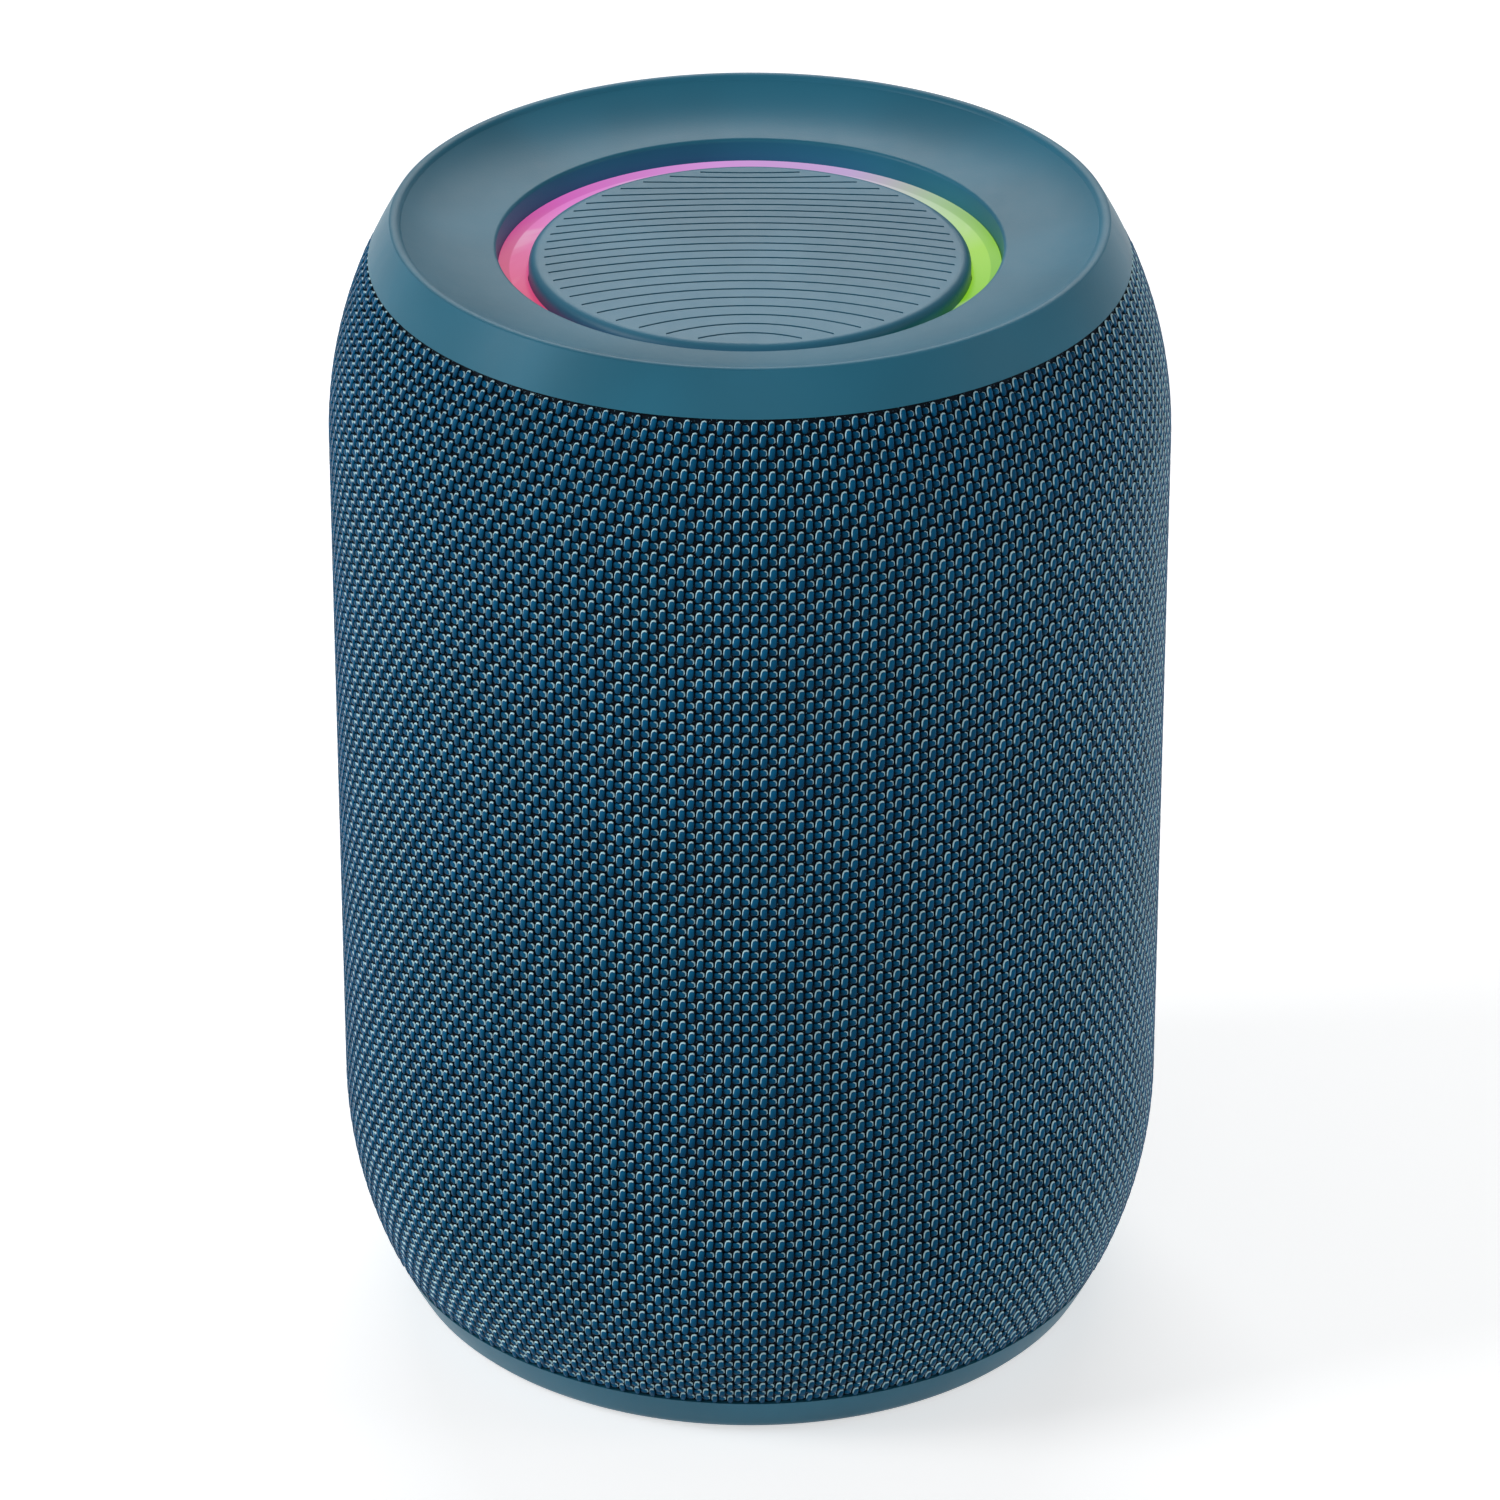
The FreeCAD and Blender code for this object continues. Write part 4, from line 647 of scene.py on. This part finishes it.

# %% [markdown]
# ## Spider of the driver
# The spider is the waved, stiffened cloth that centres the coil. Its inner rim meets the cone, and its outer rim
# meets the basket. It is cut in eight sectors, each a closed slab.

# %% Faces of a slab
def slab_faces(long, wide):
    """Faces of a closed slab. Its points run through the long steps, then the wide ones, then low and high."""
    loops = []
    for n in range(long):
        loops += [[(n, 0, 0), (n, 0, 1), (n + 1, 0, 1), (n + 1, 0, 0)],
                  [(n + 1, wide, 0), (n + 1, wide, 1), (n, wide, 1), (n, wide, 0)]]
        for m in range(wide):
            loops += [[(n, m, 0), (n + 1, m, 0), (n + 1, m + 1, 0), (n, m + 1, 0)],
                      [(n, m + 1, 1), (n + 1, m + 1, 1), (n + 1, m, 1), (n, m, 1)]]
    for m in range(wide):
        loops += [[(0, m, 0), (0, m + 1, 0), (0, m + 1, 1), (0, m, 1)],
                  [(long, m, 1), (long, m + 1, 1), (long, m + 1, 0), (long, m, 0)]]
    return [[(n * (wide + 1) + m) * 2 + side for n, m, side in loop] for loop in loops]


print("faces of a slab of 2 by 3:", len(slab_faces(2, 3)))

# %% Spider in eight sectors
SPIDER_SECTORS = 8
SPIDER_INNER = 0.0071
WAVES, WAVE_HEIGHT = 4, 0.0004
LAND = 0.12
WAVE_CREASE = math.radians(40)


def flexing_sector(number, outward=64, across=10):
    """Closed waved sector of the spider, between the cone and the basket."""
    low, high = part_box("driver_spider")
    outer, middle = (high.x - low.x) / 2, (high + low) / 2
    half = math.pi / SPIDER_SECTORS
    facing = 2 * half * number
    reach, turn, side = np.meshgrid(np.linspace(SPIDER_INNER, outer, outward + 1),
                                    np.linspace(-half, half, across + 1) + facing,
                                    (low.y, high.y), indexing="ij")
    share = np.clip(((reach - SPIDER_INNER) / (outer - SPIDER_INNER) - LAND) / (1 - 2 * LAND), 0, 1)
    points = np.stack([reach * np.cos(turn), side + WAVE_HEIGHT * np.sin(2 * math.pi * WAVES * share),
                       middle.z + reach * np.sin(turn)], -1).reshape(-1, 3)
    mesh = bpy.data.meshes.new(f"Spider_{number + 1}")
    mesh.from_pydata(points.tolist(), [], slab_faces(outward, across))
    mesh.shade_smooth()
    mesh.set_sharp_from_angle(angle=WAVE_CREASE)
    piece = add_object(mesh.name, mesh)
    dress(piece, finishes[slot_of["driver_spider"]])
    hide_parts("driver_spider")
    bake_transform(piece)
    return len(mesh.polygons)


print("faces of the spider:", sum(flexing_sector(number) for number in range(SPIDER_SECTORS)))

# %% [markdown]
# ## Ground of the cloth
# Two things make woven cloth look deep: round yarns that catch the light, and the dark between them. The dark
# is its own piece, a close sheet stretched over the cage just below the yarns, standing for the yarn beneath, and
# its near-black colour is painted shade. It is a grid that follows the rule of the barrel. At the back it is open
# for the control strip: points inside the opening move out to its edge, so that the edge is smooth.

# %% Ground sheet
GROUND_SUNK = 0.00036
AROUND, UPWARD = 240, 112
PANEL_LIP = 0.002
CUT_AT, MOVE_TO = 0.0002, 0.0001
panel_low, panel_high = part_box("control_panel")
OPENING_HALF = panel_high.x - PANEL_LIP
OPENING_LOW = panel_low.z + PANEL_LIP + OPENING_HALF
OPENING_HIGH = panel_high.z - PANEL_LIP - OPENING_HALF


def opening_distance(x, y, z):
    """How far a point lies outside the rounded opening at the back; far away at the front."""
    upright = z - np.clip(z, OPENING_LOW, OPENING_HIGH)
    return np.where(y > 0, np.hypot(x, upright) - OPENING_HALF, 1.0)


def make_ground():
    """Grid on the barrel, open at the back, with its own unwrapping."""
    mesh = bpy.data.meshes.new("Cloth_ground")
    turns = np.arange(AROUND) * 2 * math.pi / AROUND
    runs = np.linspace(0, CLOTH_RUN, UPWARD)
    radius, height = barrel(runs, GROUND_SUNK)
    x = np.outer(np.sin(turns), radius)
    y = -np.outer(np.cos(turns), radius)
    z = np.tile(height, (AROUND, 1))
    inside = opening_distance(x, y, z) < CUT_AT
    upright = z - np.clip(z, OPENING_LOW, OPENING_HIGH)
    length = np.maximum(np.hypot(x, upright), 1e-6)
    push = np.where(inside, (OPENING_HALF + MOVE_TO) / length, 1.0)
    moved_x = x * push
    moved_z = np.where(inside, z - upright + upright * push, z)
    moved_y = np.where(inside, np.sqrt(np.maximum(np.hypot(x, y) ** 2 - moved_x ** 2, 0)), y)
    corners = np.stack([moved_x, moved_y, moved_z], axis=2).reshape(-1, 3)
    faces, spots = [], []
    right, up = 1 / AROUND, 1 / (UPWARD - 1)
    for a in range(AROUND):
        b = (a + 1) % AROUND
        for r in range(UPWARD - 1):
            if inside[[a, b, a, b], [r, r, r + 1, r + 1]].all():
                continue
            faces.append((a * UPWARD + r, b * UPWARD + r, b * UPWARD + r + 1, a * UPWARD + r + 1))
            u, v = a / AROUND, r / (UPWARD - 1)
            spots += [(u, v), (u + right, v), (u + right, v + up), (u, v + up)]
    mesh.from_pydata(corners.tolist(), [], faces)
    layer = mesh.uv_layers.new(name="OFBake")
    layer.data.foreach_set("uv", np.array(spots, dtype=np.float32).ravel())
    mesh.shade_smooth()
    return add_object("Cloth_ground", mesh)


ground = make_ground()
print("ground faces:", len(ground.data.polygons))


# %% Finish of the ground
def ground_shade_finish():
    """Painted shade deep in the weave: near-black yarn crossings that are only just seen, with painted glints."""
    material, t = new_finish("Cloth_ground")
    place = t.place()
    fine = t.noise(place, 3000.0, 3.0, 0.7)
    # painted shade: the sheet stays near black, standing for the shade between the floats
    base = t.mix(fine.ramp(0.5, 0.8), paint(1, 12, 24), paint(6, 34, 54))
    # painted glints: pale specks stand for light glinting off the yarns below
    painted_glints = t.noise(place, 5200.0, 1.0)
    finish(t, base_color=t.mix(painted_glints.ramp(0.66, 0.74) * 0.6, base, paint(110, 165, 188)),
           roughness=0.55 + 0.2 * fine, normal=bump(t, fine, 0.8, 0.00015), specular_ior_level=0.1)
    return material


dress(ground, ground_shade_finish())
print("finish of the ground:", ground.material_slots[0].material.name)
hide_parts("fabric_sleeve")
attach(ground, "speaker")

# %% [markdown]
# ## The weave
# This is a plain weave. Upright warp yarns and level weft yarns pass over each other by turns, so the face shows
# a chequer of two kinds of float: tall ovals of warp and short barrels of weft. The warp is thicker and stands
# higher. A picture of cloth would look flat at the edges of the barrel, so every float is a small real shape.
# There are 296 columns and 94 rows, about 27 800 floats, so each has only a few dozen faces. Geometry Nodes
# place them by the rule of the barrel, in eight sectors.

# %% Two floats
SQUARENESS = 0.66
FLOAT_RINGS = [(1.0, 0.00056, 0.0), (0.88, 0.00017, 0.30), (0.52, 0.0, 1.0)]


def make_float(name, half_width, half_height, crown, lean, slant, corners, bright, shade):
    """Pillow of yarn that faces -Y: rim, shoulder and crown, each with a size, a depth and a share of the lean."""
    places, rim, lit, shaded = [], [], [], []
    for scale, sunk, leaning in FLOAT_RINGS:
        for step in range(corners):
            turn = 2 * math.pi * (step + 0.5) / corners
            side = math.copysign(abs(math.cos(turn)) ** SQUARENESS, math.cos(turn))
            up = math.copysign(abs(math.sin(turn)) ** SQUARENESS, math.sin(turn))
            high = half_height * (scale * up + leaning * lean[1])
            places.append((half_width * (scale * side + leaning * lean[0]) + slant * high, sunk - crown, high))
            # lit leans towards the side of the painted highlight, and shaded holds the painted shadow under a
            # neighbour
            toward = math.cos(turn - math.radians(bright))
            rim.append(scale)
            lit.append(scale * toward)
            shaded.append(shade * max(0.0, -toward))
    faces = [tuple(range(2 * corners, 3 * corners))]
    for ring in range(2):
        for step in range(corners):
            a, b = ring * corners + step, ring * corners + (step + 1) % corners
            faces.append((a, b, b + corners, a + corners))
    mesh = bpy.data.meshes.new(name)
    mesh.from_pydata(places, [], faces)
    for attribute, values in (("rim", rim), ("lit", lit), ("shade", shaded)):
        mesh.attributes.new(attribute, "FLOAT", "POINT").data.foreach_set("value", values)
    mesh.shade_smooth()
    return add_object(name, mesh)


# bright is the angle of the side that takes the painted highlight, shade the strength of the painted shadow
warp_float = make_float("Warp_float", half_width=0.00043, half_height=0.00086, crown=0.00010,
                        lean=(0.22, -0.16), slant=0.10, corners=10, bright=124.0, shade=0.4)
weft_float = make_float("Weft_float", half_width=0.00056, half_height=0.00042, crown=0.0,
                        lean=(-0.24, -0.08), slant=-0.10, corners=8, bright=12.0, shade=1.0)
print("faces of a float:", len(warp_float.data.polygons), len(weft_float.data.polygons))

# %% Inputs of the weaving tree
COLUMNS, SECTORS = 296, 8
ROW_PITCH = 0.001336
ROWS = int(CLOTH_RUN / ROW_PITCH)
FIRST_SEED = 7
WEAVE_INPUTS = [
    ("Columns", "Int", COLUMNS // SECTORS), ("First column", "Int", 0), ("Columns all round", "Int", COLUMNS),
    ("Rows", "Int", ROWS), ("Row pitch", "Float", ROW_PITCH), ("Body radius", "Float", BODY_RADIUS),
    ("Shoulder radius", "Float", SHOULDER_RADIUS), ("Shoulder run", "Float", SHOULDER_RUN),
    ("Straight run", "Float", STRAIGHT), ("Start height", "Float", sleeve_low.z + SHOULDER_RISE),
    ("Opening half", "Float", OPENING_HALF), ("Opening low", "Float", OPENING_LOW),
    ("Opening high", "Float", OPENING_HIGH), ("Tuck depth", "Float", 0.00042), ("Tuck reach", "Float", 0.0013),
    ("Seed", "Int", FIRST_SEED), ("Warp float", "Object", None), ("Weft float", "Object", None),
    ("Material", "Material", None),
]
print("inputs of the weaving tree:", len(WEAVE_INPUTS), "rows:", ROWS)


# %% Where a float lies
def float_place(t, given, row, column):
    """The barrel's rule in nodes: place, turn, tilt and radius of a float, and how far it is from the opening."""
    turn = (column + 0.5) * (2 * math.pi) / given["Columns all round"]
    run = (row + 0.5) * given["Row pitch"]
    shoulder, straight, bend = given["Shoulder run"], given["Straight run"], given["Shoulder radius"]
    below = (shoulder - run).most(0.0) / bend
    above = (run - shoulder - straight).most(0.0) / bend
    tilt = above - below
    face = given["Body radius"] - bend * (2.0 - below.of("cosine") - above.of("cosine"))
    level = given["Start height"] + (run - shoulder).most(0.0).least(straight) \
        + bend * (above.of("sine") - below.of("sine"))
    x, y = face * turn.of("sine"), face * turn.of("cosine") * -1.0

    upright = level - level.most(given["Opening low"]).least(given["Opening high"])
    beside = (x * x + upright * upright) ** 0.5 - given["Opening half"]
    beside = beside + 1.0 * (1.0 - y.above(0.0))
    edge = beside.least(run).least(shoulder * 2.0 + straight - run)
    tuck = given["Tuck depth"] * ((1.0 - edge / given["Tuck reach"]).most(0.0) ** 1.5)
    sunk_face, sunk_level = face - tuck * tilt.of("cosine"), level - tuck * tilt.of("sine")
    place = t.add("ShaderNodeCombineXYZ", None, {
        "X": sunk_face * turn.of("sine"), "Y": sunk_face * turn.of("cosine") * -1.0, "Z": sunk_level})
    return place, turn, tilt, face, beside


print("radius in mm at the middle of the cloth:", round(1000 * float(barrel(CLOTH_RUN / 2)[0]), 2))


# %% Tree that weaves one sector
LEFT_OUT = 0.00005
UNEVEN_TWIST = 0.05
UNEVEN_SIZE = 0.95, 1.03


def weave_tree():
    """Places the floats of one sector on the barrel, with a little unevenness, and tucks in the edges."""
    group = bpy.data.node_groups.new("Weave", "GeometryNodeTree")
    group.interface.new_socket("Geometry", in_out="OUTPUT", socket_type="NodeSocketGeometry")
    inputs = {}
    for name, kind, value in WEAVE_INPUTS:
        item = group.interface.new_socket(name, in_out="INPUT", socket_type="NodeSocket" + kind)
        if value is not None:
            item.default_value = value
        inputs[name] = item.identifier
    t = Tree(group)
    source = group.nodes.new("NodeGroupInput")
    given = {name: Socket(t, next(s for s in source.outputs if s.identifier == key))
             for name, key in inputs.items()}

    index = t.add("GeometryNodeInputIndex")
    column = (index / given["Rows"]).of("floor")
    row = index - column * given["Rows"]
    column = column + given["First column"]
    place, turn, tilt, face, beside = float_place(t, given, row, column)

    def uneven(low, high, salt):
        """A random value of each float."""
        return t.add("FunctionNodeRandomValue", {"data_type": "FLOAT"}, {
            "Min": low, "Max": high, "ID": index + column * 1000.0, "Seed": given["Seed"] + salt})

    points = t.add("GeometryNodePoints", None, {"Count": given["Columns"] * given["Rows"], "Position": place})
    twist = t.add("FunctionNodeEulerToRotation", None, {"Euler": t.add("ShaderNodeCombineXYZ", None, {
        "X": tilt * -1.0, "Y": uneven(-UNEVEN_TWIST, UNEVEN_TWIST, 1.0), "Z": turn})})
    size = t.add("ShaderNodeCombineXYZ", None, {
        "X": face / given["Body radius"] * uneven(*UNEVEN_SIZE, 2.0), "Y": 1.0, "Z": uneven(*UNEVEN_SIZE, 3.0)})
    parity = ((column + row) / 2.0).of("fract").above(0.25)
    both = group.nodes.new("GeometryNodeJoinGeometry")
    for name, wanted in (("Warp float", parity), ("Weft float", 1.0 - parity)):
        shape = t.add("GeometryNodeObjectInfo", None, {"Object": given[name]}, "Geometry")
        laid = t.add("GeometryNodeInstanceOnPoints", None, {
            "Points": points, "Selection": wanted * beside.above(LEFT_OUT), "Instance": shape,
            "Rotation": twist, "Scale": size})
        group.links.new(laid.socket, both.inputs[0])
    toned = t.add("GeometryNodeStoreNamedAttribute", {"data_type": "FLOAT", "domain": "INSTANCE"}, {
        "Geometry": Socket(t, both.outputs[0]), "Name": "tone", "Value": uneven(0.0, 1.0, 4.0)})
    solid = t.add("GeometryNodeRealizeInstances", None, {"Geometry": toned})
    done = t.add("GeometryNodeSetMaterial", None, {"Geometry": solid, "Material": given["Material"]})
    t.add("NodeGroupOutput", None, {"Geometry": done})
    return group, inputs


weave, weave_inputs = weave_tree()
print("nodes in the weaving tree:", len(weave.nodes))

# %% [markdown]
# ## Finish of the yarn
# The yarn is a smooth synthetic thread. Where the thread bends over its neighbour a bright crescent is painted,
# a painted highlight, and its sides are painted nearly black where they dive, as painted shade. Attributes made
# with the floats carry this: `rim` runs from 0.5 on the crown to 1 at the rim, `lit` grows towards the side of the
# painted highlight, `shade` grows on the side that lies under a neighbour, where a painted shadow falls, and
# `tone` gives each float its own slight tint. They are read as smooth values, so the crescent is far finer than
# the few faces of a float.

# %% Yarn
DIVE_SHADE = 0.82, 0.93
HIGHLIGHT_BAND_IN, HIGHLIGHT_BAND_OUT = (0.75, 0.79), (0.89, 0.92)
BRIGHT_SIDE = 0.25, 0.55


def yarn():
    """Blue thread with painted shade on its diving sides and a painted highlight crescent on one shoulder of each
    float.
    """
    material, t = new_finish("Blue_yarn")
    place = t.place()
    rim, lit, shade, tone = (t.attribute(name) for name in ("rim", "lit", "shade", "tone"))
    strands = t.noise(t.stretched(place, (1, 1, 0.3)), 9000.0, 2.0, 0.6)
    drift = t.noise(place, 60.0, 2.0)
    base = t.mix(tone, paint(2, 75, 115), paint(8, 97, 142))
    base = t.mix(drift.ramp(0.35, 0.65) * 0.3, base, paint(8, 80, 110))
    base = t.mix(strands.ramp(0.5, 0.85) * 0.2, base, paint(40, 116, 150))
    # painted shadow: the side that lies under a neighbour is darkened as if in its shadow
    base = t.mix(shade, base, paint(1, 20, 36))
    # painted shade: the rims of each float, where the yarn dives, go nearly black
    base = t.mix(rim.ramp(*DIVE_SHADE), base, paint(0, 8, 17))
    # painted highlight: a pale crescent on the lit shoulder of each float
    painted_highlight = rim.ramp(*HIGHLIGHT_BAND_IN) * (1.0 - rim.ramp(*HIGHLIGHT_BAND_OUT)) * (lit / rim).ramp(*BRIGHT_SIDE)
    base = t.mix(painted_highlight * (0.85 + 0.15 * tone), base, paint(206, 244, 252))
    finish(t, base_color=base, roughness=0.24 + 0.08 * strands + 0.25 * rim.ramp(0.8, 1.0),
           normal=bump(t, strands, 0.25, 0.00003), specular_ior_level=0.08,
           specular_tint=(0.55, 0.92, 1.0, 1))
    return material


blue_yarn = yarn()
print("nodes in the yarn:", len(blue_yarn.node_tree.nodes))


# %% Weave a sector
UV_FILL = 0.98


def unwrap_sector(mesh, number):
    """Bake map of a sector: the angle from its middle, and the height."""
    points = np.empty(len(mesh.vertices) * 3, dtype=np.float32)
    mesh.vertices.foreach_get("co", points)
    x, y, z = points.reshape(-1, 3).T
    middle = (number + 0.5) * 2 * math.pi / SECTORS
    aside = x * math.cos(middle) + y * math.sin(middle)
    ahead = x * math.sin(middle) - y * math.cos(middle)
    u = np.arctan2(aside, ahead) * SECTORS / (2 * math.pi) * UV_FILL + 0.5
    v = (z - sleeve_low.z) / (sleeve_high.z - sleeve_low.z) * UV_FILL + (1 - UV_FILL) / 2
    of_corner = np.empty(len(mesh.loops), dtype=np.int32)
    mesh.loops.foreach_get("vertex_index", of_corner)
    layer = mesh.uv_layers.new(name="OFBake")
    layer.data.foreach_set("uv", np.stack([u, v], axis=1)[of_corner].astype(np.float32).ravel())


def weave_sector(number):
    """One eighth of the cloth as a plain mesh."""
    name = f"Cloth_yarn_{number + 1}"
    piece = add_object(name, bpy.data.meshes.new(name))
    step = piece.modifiers.new("Weave", "NODES")
    step.node_group = weave
    values = {input_name: value for input_name, kind, value in WEAVE_INPUTS}
    values.update({"First column": number * COLUMNS // SECTORS, "Seed": FIRST_SEED + number * 10,
                   "Warp float": warp_float, "Weft float": weft_float, "Material": blue_yarn})
    for input_name, value in values.items():
        step[weave_inputs[input_name]] = value
    evaluated = piece.evaluated_get(bpy.context.evaluated_depsgraph_get())
    mesh = bpy.data.meshes.new_from_object(evaluated)
    piece.modifiers.remove(step)
    piece.data = mesh
    mesh.name = name
    unwrap_sector(mesh, number)
    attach(piece, "speaker")
    return piece


yarn_pieces = [weave_sector(number) for number in range(SECTORS)]
print("triangles of a sector:", sum(len(face.vertices) - 2 for face in yarn_pieces[0].data.polygons))
for shape in (warp_float, weft_float):
    bpy.data.objects.remove(shape)

# %% [markdown]
# ## Signs on the buttons
# The five buttons carry the plain signs that any player has: power, louder, play, softer and light. Each is a
# flat curve, filled, turned to a mesh and laid on the crown of its button. It rides on the button.

# %% Draw the signs
SIGN_PAINT = moulded("Sign_paint", paint(206, 220, 226), gloss=0.5, grain=5000.0, depth=0.00001, drift=0.04)
SIGN_BASE, SIGN_FACE = -0.00003, 0.00004
BAR_LONG, BAR_THIN = 0.0014, 0.00015


def flat_box(left, low, right, high):
    """Outline of an upright rectangle."""
    return [(left, low), (right, low), (right, high), (left, high)]


def arc_band(radius, width, start, end, steps=40):
    """Outline of a band that follows an arc, both angles in degrees."""
    turns = [math.radians(start + (end - start) * n / steps) for n in range(steps + 1)]
    outer = [((radius + width / 2) * math.sin(a), (radius + width / 2) * math.cos(a)) for a in turns]
    inner = [((radius - width / 2) * math.sin(a), (radius - width / 2) * math.cos(a)) for a in reversed(turns)]
    return outer + inner


SIGNS = {
    "power_button": [arc_band(0.00130, 0.00028, 32, 328), flat_box(-0.00014, 0.00030, 0.00014, 0.00165)],
    "plus_button": [flat_box(-BAR_LONG, -BAR_THIN, BAR_LONG, BAR_THIN),
                    flat_box(-BAR_THIN, BAR_THIN, BAR_THIN, BAR_LONG),
                    flat_box(-BAR_THIN, -BAR_LONG, BAR_THIN, -BAR_THIN)],
    "play_button": [[(-0.0016, -0.0011), (0.0001, 0.0), (-0.0016, 0.0011)],
                    flat_box(0.00050, -0.0011, 0.00082, 0.0011), flat_box(0.00120, -0.0011, 0.00152, 0.0011)],
    "minus_button": [flat_box(-BAR_LONG, -BAR_THIN, BAR_LONG, BAR_THIN)],
    "mode_button": [arc_band(0.00052, 0.00026, 0, 359.9)] + [
        [(r * math.sin(a) + w * math.cos(a), r * math.cos(a) - w * math.sin(a))
         for r, w in ((0.00105, -0.00012), (0.00105, 0.00012), (0.00165, 0.00012), (0.00165, -0.00012))]
        for a in [math.radians(45 * n) for n in range(8)]],
}


def lay_sign(button, outlines):
    """A thin inlay on the crown of a button, which faces +Y."""
    low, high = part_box(button)
    middle = (low + high) / 2
    places, faces = [], []
    for outline in outlines:
        first, count = len(places), len(outline)
        for level in (SIGN_BASE, SIGN_FACE):
            places += [(middle.x - across, high.y + level, middle.z + up) for across, up in outline]
        faces.append(tuple(range(first + count, first + 2 * count)))
        faces.append(tuple(range(first + count - 1, first - 1, -1)))
        for n in range(count):
            m = (n + 1) % count
            faces.append((first + n, first + m, first + count + m, first + count + n))
    name = button.replace("button", "sign").capitalize()
    mesh = bpy.data.meshes.new(name)
    mesh.from_pydata(places, [], faces)
    piece = add_object(name, mesh)
    bpy.context.view_layer.objects.active = piece
    piece.select_set(True)
    bpy.ops.object.mode_set(mode="EDIT")
    bpy.ops.mesh.select_all(action="SELECT")
    bpy.ops.mesh.quads_convert_to_tris(ngon_method="BEAUTY")
    bpy.ops.mesh.normals_make_consistent(inside=False)
    bpy.ops.object.mode_set(mode="OBJECT")
    piece.select_set(False)
    dress(piece, SIGN_PAINT)
    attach(piece, button)
    return piece


for button, outlines in SIGNS.items():
    sign = lay_sign(button, outlines)
    print(sign.name, "faces:", len(sign.data.polygons))

# %% [markdown]
